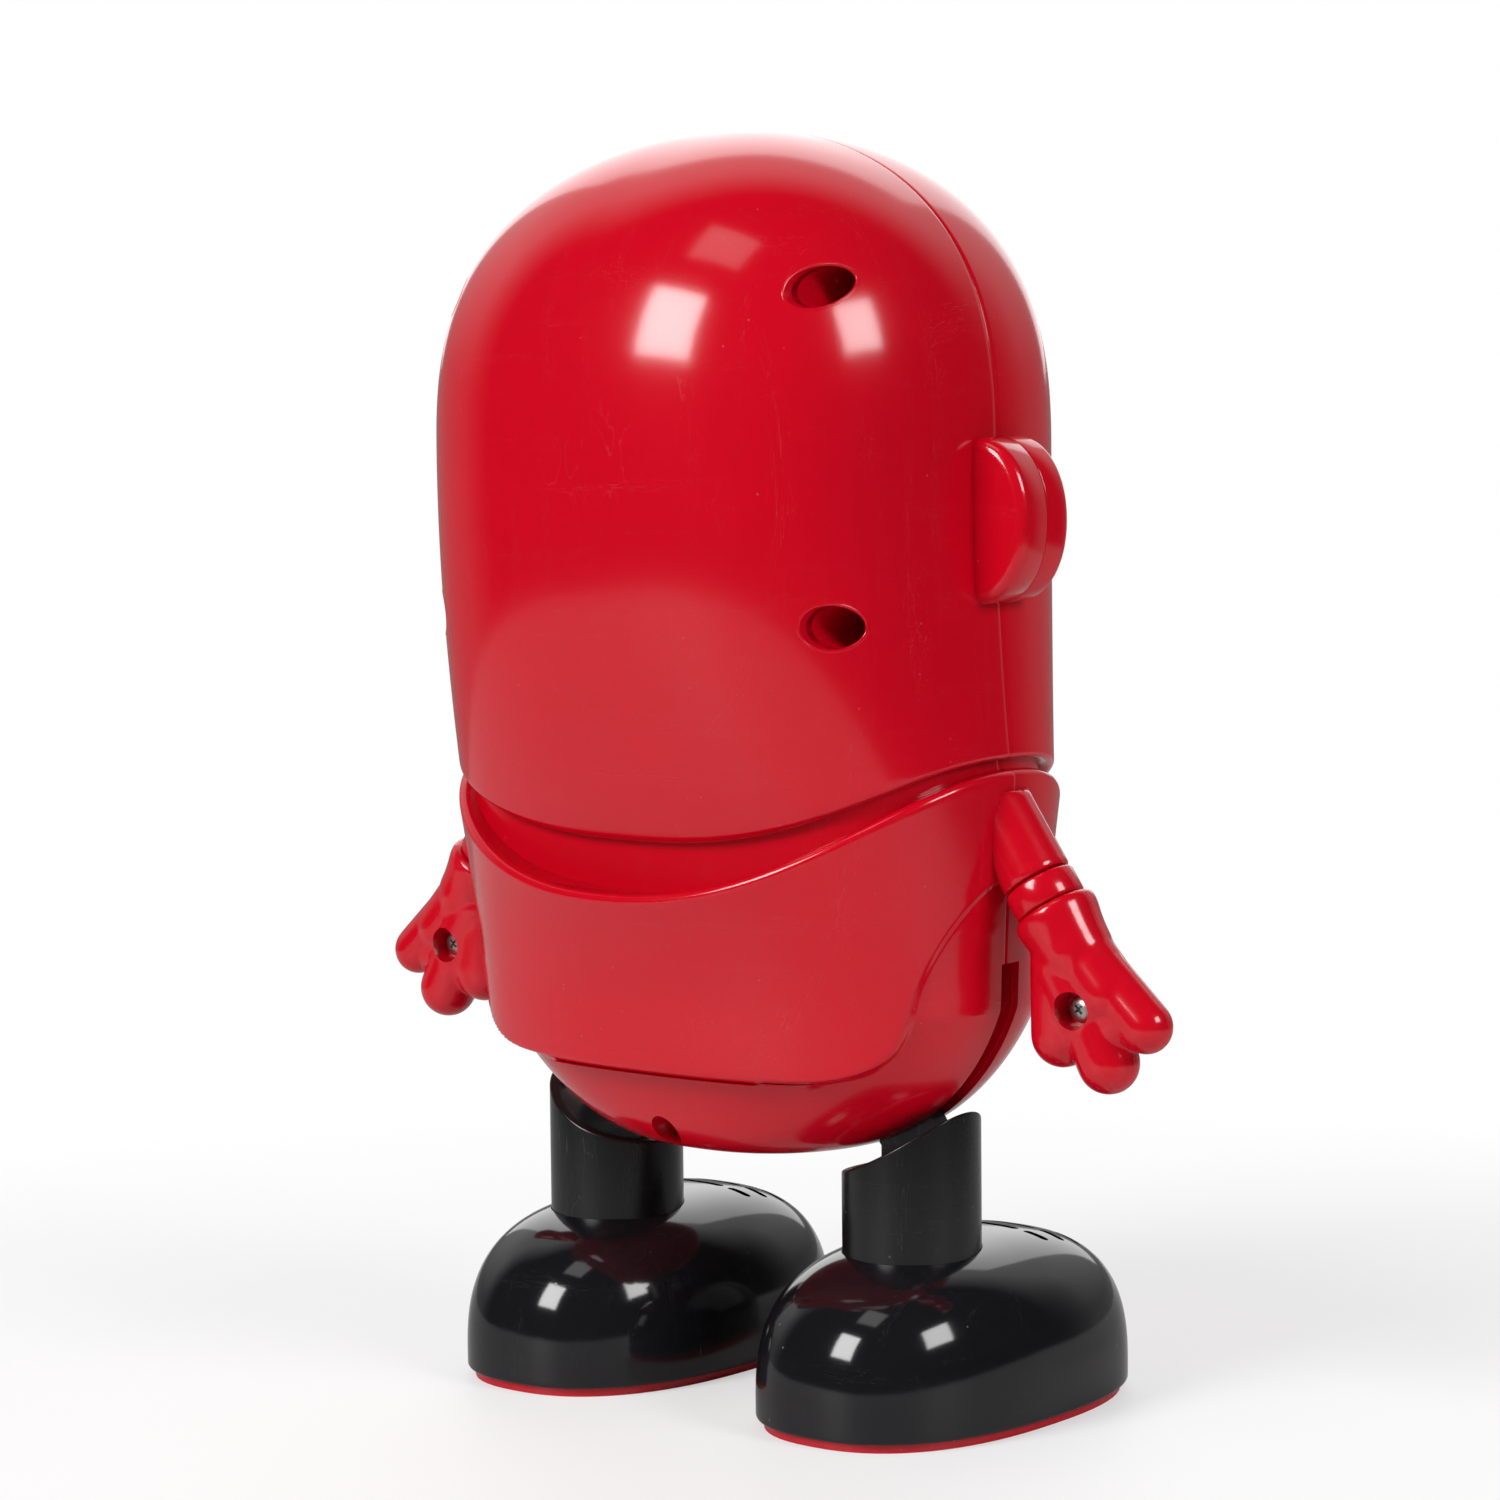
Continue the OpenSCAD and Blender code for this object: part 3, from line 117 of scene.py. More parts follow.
class ROBOT_PG_hands(PropertyGroup):
    wrist_x: length("Wrist place", "Distance of the wrist's middle from the robot's middle", 54.2)
    wrist_z: length("Wrist height", "Height of the wrist's middle", 84.7)
    lean: angle("Lean", "Lean of the arm's axis from upright", 34.4)
    sleeve: length("Sleeve", "Diameter of an arm sleeve", 10.9)
    cuff: length("Cuff", "Diameter of a cuff ring", 11.2)
    finger: length("Finger", "Diameter of the middle finger", 9.4)
    recess: length("Screw recess", "Diameter of the recess in a palm", 5.8)


class ROBOT_PG_legs(PropertyGroup):
    leg_x: length("Leg place", "Distance of a leg's middle from the robot's middle", 30)
    tube: length("Tube", "Diameter of a leg tube", 21.6)
    tube_wall: length("Tube wall", "Wall of a leg tube", 1.6)
    shoe_width: length("Shoe width", "Width of a shoe", 44.4)
    shoe_length: length("Shoe length", "Length of a shoe", 69.8)
    shoe_forward: length("Shoe forward", "How far a shoe's middle lies in front of its leg", 8.3)
    shoe_height: length("Shoe height", "Height of a shoe's dome", 27)
    shoe_wall: length("Shoe wall", "Wall of a shoe", 1.8)
    sole: length("Sole", "Thickness of a sole below the shoe", 1.4)
    slot_pitch: length("Slot pitch", "Spacing of the rows of toe slots", 4.4)
    slot_rows: IntProperty(name="Slot rows", description="Rows of toe slots", default=4, min=1, max=5)


class ROBOT_PG_finish(PropertyGroup):
    red: colour("Shell red", "Colour of the shells, cuffs and hands", (0.565, 0.001, 0.012))
    sole_red: colour("Sole red", "Colour of the soles", (0.52, 0.008, 0.018))
    shoe_black: colour("Shoe black", "Colour of the shoes", (0.0075, 0.0075, 0.009))
    tube_black: colour("Tube black", "Colour of the leg tubes", (0.0070, 0.0068, 0.0072))
    visor: colour("Visor", "Colour of the smoked visor", (0.01, 0.01, 0.014))
    lens: colour("Lens", "Colour of the chest lens", (0.85, 0.42, 0.05))
    steel: colour("Steel", "Colour of the plated screws", (0.62, 0.61, 0.59))
    wear: share("Wear", "Strength of scratches and dust", 0.5)


class ROBOT_PG_stage(PropertyGroup):
    azimuth: angle("View", "Direction of the camera round the robot", 219.0)
    distance: length("Distance", "Distance of the camera from the robot's axis", 691.0)
    camera_height: length("Camera height", "Height of the camera", 165.7)
    lamp_level: FloatProperty(name="Lamps", description="Strength of the soft lamps", default=1.0, min=0.0)
    shadow: share("Floor shadow", "How much of the floor's own light the camera sees", 0.5)
    floor_reach: length("Floor", "Reach of the white floor round the robot", 470)
    room: share("Room", "Brightness of the room in reflections", 0.02)
    sky: share("Sky", "Brightness of the even light from all round", 0.22)


def sizes(scene):
    """Every size of the robot: lengths in millimetres, an arm's lean in radians, the number of slot rows."""
    found = {}
    for group in (scene.robot_shell, scene.robot_face, scene.robot_hands, scene.robot_legs):
        for key in group.__annotations__:
            value = getattr(group, key)
            found[key] = value if key in ("lean", "slot_rows") else value / MM
    return SimpleNamespace(**found)


# ---- shared mesh work ----
def placed(name, data):
    """Object of a mesh, lamp or camera, in the scene."""
    obj = bpy.data.objects.new(name, data)
    bpy.context.scene.collection.objects.link(obj)
    return obj


def new_object(name, verts, faces):
    """Mesh object from points in millimetres."""
    mesh = bpy.data.meshes.new(name)
    mesh.from_pydata([tuple(v) for v in np.asarray(verts) * MM], [], faces)
    mesh.validate()
    mesh.shade_smooth()
    return placed(name, mesh)


def grid_quads(rows, cols, wrap=False, first=0, flip=False):
    """Quads over a grid of points kept row by row."""
    faces = []
    for i in range(rows - 1):
        for j in range(cols if wrap else cols - 1):
            k = (j + 1) % cols
            a, b = first + i * cols + j, first + i * cols + k
            c, d = b + cols, a + cols
            faces.append((a, d, c, b) if flip else (a, b, c, d))
    return faces


def ringed(name, rows, caps=False):
    """Mesh over rings of points, with a flat on the first and last ring if caps is set."""
    rows = np.array(rows)
    count, steps = rows.shape[:2]
    faces = grid_quads(count, steps, wrap=True)
    if caps:
        faces += [tuple(range(steps)), tuple(range((count - 1) * steps, count * steps))]
    return turned_out(new_object(name, rows.reshape(-1, 3), faces))


def baked(obj):
    """Puts an object's modifiers into its mesh."""
    bpy.context.view_layer.update()
    mesh = bpy.data.meshes.new_from_object(obj.evaluated_get(bpy.context.evaluated_depsgraph_get()))
    old = obj.data
    obj.modifiers.clear()
    obj.data = mesh
    mesh.name = obj.name
    bpy.data.meshes.remove(old)
    return obj


def cut(obj, cutters):
    for cutter in cutters:
        step = obj.modifiers.new("cut", "BOOLEAN")
        step.operation, step.solver, step.object = "DIFFERENCE", "EXACT", cutter
    baked(obj)
    for cutter in cutters:
        bpy.data.objects.remove(cutter)
    return obj


def joined(name, objects):
    """One object from several, each with its faces turned outwards already."""
    work = bmesh.new()
    for obj in objects:
        work.from_mesh(obj.data)
        bpy.data.objects.remove(obj)
    mesh = bpy.data.meshes.new(name)
    work.to_mesh(mesh)
    work.free()
    mesh.shade_smooth()
    return placed(name, mesh)


def turned_out(obj):
    """Merges doubles and turns the faces of a closed mesh outwards."""
    work = bmesh.new()
    work.from_mesh(obj.data)
    bmesh.ops.remove_doubles(work, verts=work.verts, dist=1e-7)
    bmesh.ops.recalc_face_normals(work, faces=work.faces)
    work.to_mesh(obj.data)
    work.free()
    return obj


def crisp(obj, limit=40):
    """Smooth shading that keeps the edges sharper than an angle."""
    work = bmesh.new()
    work.from_mesh(obj.data)
    for edge in work.edges:
        edge.smooth = len(edge.link_faces) == 2 and edge.calc_face_angle(0) < radians(limit)
    for face in work.faces:
        face.smooth = True
    work.to_mesh(obj.data)
    work.free()
    return obj


def turns(steps):
    """Angles once round a circle."""
    return [2 * pi * j / steps for j in range(steps)]


def lathe(profile, steps=64, matrix=Matrix(), name="lathe"):
    """Turned solid from a profile of (radius, height), in millimetres, about the matrix's Z."""
    return ringed(name, [[matrix @ Vector((r * cos(t), r * sin(t), z)) for t in turns(steps)] for r, z in profile])


def cylinder(radius, low, high, matrix, steps=64):
    return lathe([(0, low), (radius, low), (radius, high), (0, high)], steps, matrix)


def along_y(x, y, z):
    """Frame whose Z runs along the robot's Y axis."""
    return Matrix.Translation((x, y, z)) @ Matrix.Rotation(-pi / 2, 4, "X")


def spow(value, power):
    """Power that keeps the sign."""
    return np.sign(value) * np.abs(value) ** power


def finish(obj, material, body, slot, *nodes):
    """Gives a piece its material and its body, and hides the plain nodes that it stands in for. The slot is not used.
    """
    obj.data.materials.clear()
    obj.data.materials.append(material)
    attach(obj, body)
    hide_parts(*nodes)


# ---- the head and body ----
# Powers of the round-cornered sections of the head and body, and of the head's dome (upwards, outwards)
HEAD_N, BODY_N = 2.5, 2.3
DOME_UP, DOME_OUT = 2.68, 2.03
# How much the head narrows over TAPER_SPAN millimetres below its widest level: back, front, sides (they widen)
TAPER, FLARE, TAPER_SPAN = {1: 0.22, -1: 0.15}, -0.06, 50
# How much the body's sides and faces draw in for each millimetre down
SIDE_LEAN, FACE_LEAN = 0.04, 0.195
# Turned-in lips at the neck
LIP_IN = 1.8
# Underside: foot of the back panel below the hip pins, where the wall begins about a pin, its depth in the
# middle, its step back from the wall, how fast it deepens, and the swell below the wall
PANEL_LOW, SIDE_DEG = 23.2, 70.0
BOWL, BOWL_STEP, BOWL_N = 12, 1.5, 0.7
SWELL, SWELL_FROM = 4.1, 32
# Screw in the underside: place across, drop below the hip pins, and the radius of its recess
FOOT_X, FOOT_DROP, FOOT_R = 3.0, 33.6, 2.5


def head_share(p, z, taper):
    """Size of the head at a height, as a share of its widest."""
    up = np.clip((z - p.head_mid) / (p.height - p.head_mid), 0, 1)
    dome = np.clip(1 - up ** DOME_UP, 0, 1) ** (1 / DOME_OUT)
    return np.where(z > p.head_mid, dome, 1 - taper * ((p.head_mid - z) / TAPER_SPAN) ** 2)


def head_depth(p, side):
    return p.head_back if side > 0 else p.head_front


def head_y(p, x, z, side, inset=0.0):
    """Depth of the head's face at x and z, from the parting plane."""
    a = p.head_width / 2 * head_share(p, z, FLARE) - inset
    b = head_depth(p, side) * head_share(p, z, TAPER[side]) - inset
    return side * b * np.clip(1 - np.clip(np.abs(x) / a, 0, 1) ** HEAD_N, 0, 1) ** (1 / HEAD_N)


def skin_y(p, x, z, inset=0.0):
    """Depth of the back of the head at one point."""
    return float(head_y(p, x, np.array(z), 1, inset))


def body_a(p, z):
    """Half the body's width at a height."""
    return p.body_width / 2 - SIDE_LEAN * (p.lip - z)


def body_b(p, z, side):
    """Depth of the body's face at a height, from the parting plane."""
    return (p.body_back if side > 0 else p.body_front) - FACE_LEAN * (p.lip - z)


def panel_mask(p, y, z):
    """1 on the raised back panel, 0 below it and inside the side arches."""
    arch_z, arch_y, arch_h, corner = p.hip - 11.5, 16.2, 19.2, 7.0
    up = np.clip((z - arch_z) / arch_h, 0, 1)
    edge = np.where(z < arch_z, arch_y, arch_y * np.clip(1 - up ** 1.7, 0, 1) ** (1 / 1.9))
    edge = np.where(z > arch_z + arch_h, -9.0, edge)
    side, above = y - edge, z - (p.hip - PANEL_LOW)
    inside = np.where((side < corner) & (above < corner), corner - np.hypot(corner - side, corner - above), side)
    step = np.clip(inside / 1.7 + 0.5, 0, 1)
    return 0.6 * step + 0.4 * step ** 2 * (3 - 2 * step)


def swell(t):
    """How far the underside swells out beyond its bowl on the way to the wall, at an angle about a hip pin."""
    return SWELL * max((t - SWELL_FROM) / (SIDE_DEG - SWELL_FROM), 0) ** 2


def shell_sections(p, side):
    """Stations up the shell: kind, place, drop, inward step and lift."""
    belt, belt_span, belt_in, lip_round = degrees(acos(PANEL_LOW / p.hip_radius)), 3.4, 1.7, 1.2
    low, shoulder = p.hip - p.hip_radius * cos(radians(SIDE_DEG)), p.lip - lip_round
    rows = [("under", t, 0, 0, 0) for t in np.linspace(0.5, belt - 0.12, 34)]
    for t in np.linspace(0, 1, 11):
        rows.append(("under", belt + belt_span * t ** 1.5, 0, belt_in * (1 - sqrt(1 - (1 - t) ** 2)), 0))
    rows += [("under", t, 0, 0, 0) for t in np.linspace(belt + belt_span, SIDE_DEG, 22)[1:]]
    start, power = (low, 1.25) if side > 0 else (p.hip, 1.0)
    for z in np.linspace(low + 1.1, shoulder, 65):
        rows.append(("wall", z, p.lip_drop * np.clip((z - start) / (shoulder - start), 0, 1) ** power, 0, 0))
    for t in np.linspace(0, 90, 8)[1:]:
        rows.append(("wall", shoulder + lip_round * sin(radians(t)), p.lip_drop,
                     lip_round * (1 - cos(radians(t))), t / 90))
    rows += [("wall", p.lip - 0.02, p.lip_drop, LIP_IN - 0.2, 1), ("wall", p.lip - 0.1, p.lip_drop, LIP_IN, 1)]
    for t in np.linspace(0, 1, 9):
        level = p.lip - 0.15 + t * (p.rim + 0.15 - p.lip + 0.15)
        rows.append(("neck", level, p.lip_drop + t * (p.rim_drop - p.lip_drop), p.neck_inset, 1 - 2 * t))
    rows += [("head", p.rim + 0.05, p.rim_drop, LIP_IN, -1), ("head", p.rim, p.rim_drop, LIP_IN - 0.3, -1)]
    for t in np.linspace(90, 0, 8):
        rows.append(("head", p.rim + 1 - sin(radians(t)), p.rim_drop, 1 - cos(radians(t)), -t / 90))
    for t in np.linspace(0, 1, 46)[1:]:
        rows.append(("head", p.rim + 1 + t * (p.head_mid - p.rim - 1), p.rim_drop * (1 - t), 0, 0))
    for t in np.linspace(0, 89.2, 64)[1:]:
        u = sin(radians(t))
        rows.append(("head", p.head_mid + (p.height - p.head_mid) * u, 0, 0, u * u))
    return rows


def ring_angles(fine):
    """Directions round half of the shell, closer together beside the parting plane."""
    if not fine:
        return np.linspace(0, 180, 73)
    edge = np.array([0, 0.25, 0.6, 1.0, 1.5])
    near = np.linspace(2, 36, 90)
    middle = np.linspace(37.4, 142.6, 76)
    return np.concatenate([edge, near, middle, 180 - near[::-1], 180 - edge[::-1]])


def shell_grid(p, side, inset):
    """Rows of points over one shell's skin, or over a face set in from it."""
    angles = np.radians(ring_angles(inset == 0))
    s, c = np.sin(angles), np.cos(angles)
    panel_from = 51
    rows = []
    for kind, place, drop, step, lift in shell_sections(p, side):
        z = place - drop * s ** 2
        off, n = inset + step, BODY_N
        if kind == "under":
            t, radius = radians(place), p.hip_radius - inset
            deep = body_b(p, p.hip - PANEL_LOW, side) - BOWL_STEP - inset
            a = p.hip_spacing + radius * sin(t)
            b = BOWL + (deep - BOWL) * sin(t) ** BOWL_N + swell(place)
            z = np.full_like(s, p.hip - radius * cos(t))
        elif kind == "wall":
            a, b = body_a(p, place) - off, body_b(p, place, side) - off
        else:
            level = p.rim - p.rim_drop * s ** 2 if kind == "neck" else z - lift * inset
            a = p.head_width / 2 * head_share(p, level, FLARE) - off
            b = head_depth(p, side) * head_share(p, level, TAPER[side]) - off
            n = HEAD_N
        x, y = a * spow(c, 2 / n), b * s ** (2 / n)
        if inset == 0:
            groove = p.seam * np.clip(1 - y / 0.5, 0, 1) ** 2
            rise = 0
            if side > 0 and kind == "wall":
                rise = p.panel_rise * panel_mask(p, y, z)
            elif side > 0 and kind == "under" and place > panel_from:
                raised, out = panel_mask(p, y, z), p.panel_rise - step
                x = x + raised * ((body_a(p, z) + out) * spow(c, 2 / n) - x)
                y = y + raised * ((body_b(p, z, 1) + out) * s ** (2 / n) - y)
            nx, ny = (v / max(float(np.max(np.abs(reach))), 1e-6) for v, reach in ((x, a), (y, b)))
            size = np.maximum(np.hypot(nx, ny), 1e-6)
            x = x + (rise - groove) * nx / size
            y = y + rise * ny / size
        rows.append(np.stack([x, side * y, z - lift * inset], -1))
    return np.array(rows)


def shell_wall(p, name, side):
    """Closed wall of one shell, with its inner face and the flat edge on the parting plane."""
    outer, inner = shell_grid(p, side, 0), shell_grid(p, side, p.wall)
    rows, n, m = len(outer), outer.shape[1], inner.shape[1]
    foot = p.hip - p.hip_radius
    poles = [[0, 0, z] for z in (foot, foot + p.wall, p.height, p.height - p.wall)]
    verts = np.concatenate([outer.reshape(-1, 3), inner.reshape(-1, 3), poles])
    total = rows * n
    faces = grid_quads(rows, n) + grid_quads(rows, m, first=total, flip=True)
    lo, li, to, ti = range(total + rows * m, len(verts))
    last, inner_last = (rows - 1) * n, total + (rows - 1) * m
    for j in range(n - 1):
        faces += [(lo, j + 1, j), (to, last + j, last + j + 1)]
    for j in range(m - 1):
        faces += [(li, total + j, total + j + 1), (ti, inner_last + j + 1, inner_last + j)]
    for j, q in ((0, 0), (n - 1, m - 1)):
        for i in range(rows - 1):
            faces.append((i * n + j, (i + 1) * n + j, total + (i + 1) * m + q, total + i * m + q))
        faces += [(lo, j, total + q, li), (to, last + j, inner_last + q, ti)]
    return turned_out(new_object(name, verts, faces))


def ear_half(p, side, k):
    """Half an ear pad: a half-oval slab with rounded edges, from inside the head's wall outwards."""
    root, half, edge, power = p.head_width / 2, p.ear_width / 2, 1.9, 2 / 2.1
    stations = [(0.0, p.seam), (0.12, 0.3 * p.seam), (0.3, 0.0)]
    stations += [(half - edge + edge * sin(radians(t)), edge * (1 - cos(radians(t)))) for t in np.linspace(0, 90, 11)]
    a = np.radians(np.linspace(-90, 90, 73))
    rings = []
    for y, inset in stations:
        x = root + (p.ear_reach - root - inset) * spow(np.cos(a), power)
        z = p.ear_level + (p.ear_height / 2 - inset) * spow(np.sin(a), power)
        x, z = np.concatenate([[root - 3], x, [root - 3]]), np.concatenate([z[:1], z, z[-1:]])
        rings.append(np.stack([k * x, np.full_like(x, side * y), z], -1))
    return ringed("ear", rings, caps=True)


def wrist_frame(p, k):
    """Frame of a wrist: its Z runs up the arm."""
    return (Matrix.Scale(k, 4, (1, 0, 0)) @ Matrix.Translation((p.wrist_x, 0, p.wrist_z))
            @ Matrix.Rotation(-p.lean, 4, "Y"))


def half_turn(profile, matrix, side, steps=40):
    """Half of a turned piece, on one side of the parting plane, closed by a flat."""
    angles = np.linspace(0, 180, steps + 1)
    verts = [matrix @ Vector((r * cos(radians(t)), side * r * sin(radians(t)), z)) for r, z in profile for t in angles]
    rows, n = len(profile), steps + 1
    faces = grid_quads(rows, n)
    faces.append(tuple([i * n for i in range(rows)] + [i * n + n - 1 for i in reversed(range(rows))]))
    return turned_out(new_object("half", verts, faces))


def sleeve_half(p, side, k):
    """Half of a sleeve, which runs up into the body and ends under its lip."""
    r, foot, top = p.sleeve / 2, 0.35, 19
    profile = [(0, foot), (r - 0.5, foot), (r - 0.15, foot + 0.15), (r, foot + 0.5)]
    profile += [(r, z) for z in np.linspace(foot + 1, top, 24)] + [(0, top)]
    half = half_turn(profile, wrist_frame(p, k), side)
    for vert in half.data.vertices:
        vert.co.z = min(vert.co.z, (p.lip - 3) * MM)
    return half


def hip_band(name, p, k, radii, degs, depths, clear=None):
    """Curved bar about a hip pin between two radii, angles and depths, kept clear of the body's side."""
    ring = []
    for r, (start, end) in zip(radii, (degs, degs[::-1])):
        for t in np.radians(np.linspace(start, end, 24)):
            x, z = p.hip_spacing + r * cos(t), p.hip + r * sin(t)
            ring.append((k * (x if clear is None else min(x, body_a(p, z) - clear)), z))
    return ringed(name, [[(x, y, z) for x, z in ring] for y in depths], caps=True)


def leg_slots(p):
    """Cutters for the slots that the legs' arms swing through."""
    radii = (p.hip_radius - 6, p.hip_radius + 9)
    return [hip_band("slot", p, k, radii, (-77, -9), (-3.6, 1.0)) for k in (1, -1)]


def slot_ribs(p, side):
    """Ribs inside a shell, along the slots that the legs' arms swing through."""
    radii, depths = (p.hip_radius - 8, p.hip_radius - 1), (0.9, 2.2) if side > 0 else (-4.8, -3.5)
    return [hip_band("rib", p, k, radii, (-77, -4), depths, clear=1.2) for k in (1, -1)]


def recess_tube(p, x, z, radius, deep, k):
    """Moulded tube round a screw recess, from just under the skin (no depth given) down to its floor."""
    bore, outer, floor = 1.35, radius + 1.3, deep - 1.5
    rows = []
    for r, y in ((radius, None), (radius, deep), (bore, deep), (bore, floor), (outer, floor), (outer, None)):
        ring = [(x + r * cos(t), z + r * sin(t)) for t in turns(64)]
        rows.append([(k * px, skin_y(p, px, pz, 1.1) if y is None else y, pz) for px, pz in ring])
    return ringed("tube", rows + rows[:1])


def head_screws(p):
    """Screws of the head on one side: x, z, radius of the recess and depth of its floor."""
    return [(p.head_width / 2 - 11.7, p.height - 24.7, 3.2, 14.0), (p.head_width / 2 - 8.5, p.rim + 21, 3.3, 12.0)]


def recess_lip(p, x, z, radius, k):
    """Soft rolled edge where a recess breaks the skin."""
    tube, e = 0.34, 0.05
    rows = []
    for t in turns(96):
        px, pz = x + radius * cos(t), z + radius * sin(t)
        slope = Vector(((skin_y(p, px + e, pz) - skin_y(p, px - e, pz)) / (2 * e), -1,
                        (skin_y(p, px, pz + e) - skin_y(p, px, pz - e)) / (2 * e)))
        normal = -slope.normalized()
        out = Vector((cos(t), 0, sin(t)))
        out = (out - normal * out.dot(normal)).normalized()
        centre = Vector((px, skin_y(p, px, pz), pz)) - normal * (tube - 0.06) + out * (tube - 0.1)
        ring = [centre + tube * (cos(a) * out + sin(a) * normal) for a in turns(10)]
        rows.append([(k * v.x, v.y, v.z) for v in ring])
    return ringed("lip", rows + rows[:1])


def moulded(name, wall, cutters, extras):
    """Shell from its cut wall and the pieces moulded to it."""
    return joined(name, [crisp(part) for part in (cut(wall, cutters), *extras)])


def build_back_shell(p):
    cutters, extras = leg_slots(p), []
    for x, z, radius, _ in head_screws(p):
        cutters += [cylinder(radius, 0, 55, along_y(k * x, 5, z)) for k in (1, -1)]
    cutters.append(cylinder(FOOT_R, 0, 50, along_y(FOOT_X, 10, p.hip - FOOT_DROP)))
    for k in (1, -1):
        extras += [ear_half(p, 1, k), sleeve_half(p, 1, k)]
        for screw in head_screws(p):
            extras += [recess_tube(p, *screw, k), recess_lip(p, *screw[:3], k)]
    extras += [foot_tube(p)] + slot_ribs(p, 1)
    return moulded("back_shell_skin", shell_wall(p, "back_shell_skin", 1), cutters, extras)


def under_y(p, x, z):
    """Depth of the back of the underside at x and z, from the parting plane."""
    t = acos(min((p.hip - z) / p.hip_radius, 1))
    a = p.hip_spacing + p.hip_radius * sin(t)
    deep = body_b(p, p.hip - PANEL_LOW, 1) - BOWL_STEP
    b = BOWL + (deep - BOWL) * sin(t) ** BOWL_N + swell(degrees(t))
    return b * max(1 - (abs(x) / a) ** BODY_N, 0) ** (1 / BODY_N)


def foot_tube(p):
    """Tube round the foot screw, cut level with the underside's inner face."""
    profile = [(1.3, 0), (1.3, 1.2), (FOOT_R, 1.2), (FOOT_R, 12), (3.3, 12), (3.3, 0), (1.3, 0)]
    tube = lathe(profile, 48, along_y(FOOT_X, 13, p.hip - FOOT_DROP))
    for vert in tube.data.vertices:
        vert.co.y = min(vert.co.y, (under_y(p, vert.co.x / MM, vert.co.z / MM) - 0.7) * MM)
    return tube


# ---- the face ----
VISOR_N = 3.4


def visor_rings(p, extra, off, rings=1):
    """Closed rings from the visor's edge inwards, on the head's face."""
    t = np.radians(np.arange(96) * 360 / 96)
    out = []
    for s in np.linspace(1, 0.02, rings):
        x = (p.visor_width / 2 + extra) * spow(np.cos(t), 2 / VISOR_N) * s
        z = p.visor_level + (p.visor_height / 2 + extra) * spow(np.sin(t), 2 / VISOR_N) * s
        out.append(np.stack([x, head_y(p, x, z, -1, off), z], -1))
    return np.array(out)


def build_visor(p):
    """Smoked visor with a rounded edge, standing a little proud of the head."""
    proud, gap, edge = 0.5, 0.05, 0.6
    rim = [visor_rings(p, -gap - edge * (1 - cos(radians(t))), -proud * sin(radians(t)))[0]
           for t in np.linspace(0, 90, 7)]
    face = visor_rings(p, -0.65, -proud, 20)[1:]
    back = visor_rings(p, -gap, 1.2, 20)[::-1]
    return crisp(ringed("visor_glass", [*back, *rim, *face], caps=True), 50)


def visor_cutter(p):
    return ringed("visor_cut", [visor_rings(p, 0.1, off)[0] for off in (6, -8)], caps=True)


def visor_seat(p):
    """Ledge behind the visor that carries its edge."""
    rows = [visor_rings(p, extra, off)[0] for extra, off in ((1.5, 1.3), (-2, 1.3), (-2, 2.2), (1.5, 2.2))]
    return ringed("visor_seat", rows + rows[:1])


def lens_frame(p):
    """Frame of the chest lamp: its Z points out of the body's front."""
    return (Matrix.Translation((0, -float(body_b(p, p.lens_level, -1)), p.lens_level))
            @ Matrix.Rotation(np.arctan(FACE_LEAN), 4, "X") @ Matrix.Rotation(pi / 2, 4, "X"))


def build_front_shell(p):
    hole = cylinder(p.lens / 2 + 0.1, -4, 4, lens_frame(p))
    extras = [visor_seat(p)] + slot_ribs(p, -1)
    for k in (1, -1):
        extras += [ear_half(p, -1, k), sleeve_half(p, -1, k)]
    wall = shell_wall(p, "front_shell_skin", -1)
    return moulded("front_shell_skin", wall, leg_slots(p) + [visor_cutter(p), hole], extras)


def build_lens(p):
    """Lens with a flange behind the wall, a domed rim and a flat face."""
    r, seat, flange, top = p.lens / 2, -2.6, 1.2, 1.3
    profile = [(0, seat - 1), (r + flange, seat - 1), (r + flange, seat), (r, seat), (r, 0.2)]
    profile += [(r * cos(radians(t)), 0.3 + sin(radians(t))) for t in range(10, 90, 10)]
    profile += [(r * 0.17 * t, top) for t in np.linspace(0.9, 0.06, 12)] + [(0, top)]
    return crisp(lathe(profile, 72, lens_frame(p), "chest_lens_glass"), 45)


# ---- hands ----
# Fingers, palm and the webs between them: root, tip, radius as a share of a finger's, flattening
FINGERS = [((-2.7, -11.5), (-9.2, -21.2), 1.04, 0.96), ((-2.0, -12.5), (-4.3, -28.6), 1.03, 0.95),
           ((0.8, -11.0), (4.6, -27.5), 0.88, 0.95), ((-2.6, -12.5), (-3.0, -20.0), 1.13, 1.0),
           ((0.5, -11.5), (1.6, -20.0), 1.07, 0.98), ((-1.0, -11.5), (-3.5, -19.0), 1.12, 0.98),
           ((-2.9, -13.5), (-6.2, -21.6), 0.96, 0.94), ((-0.5, -15.0), (0.7, -24.4), 0.92, 0.84)]
# Middle of the screw recess in the palm, and the depth of its floor
PALM, PALM_FLOOR = (-2.8, -20.0), 1.0
# Voxel of the skin over the fingers, and how often it is smoothed
SKIN_VOXEL, SKIN_PASSES = 0.26, 34


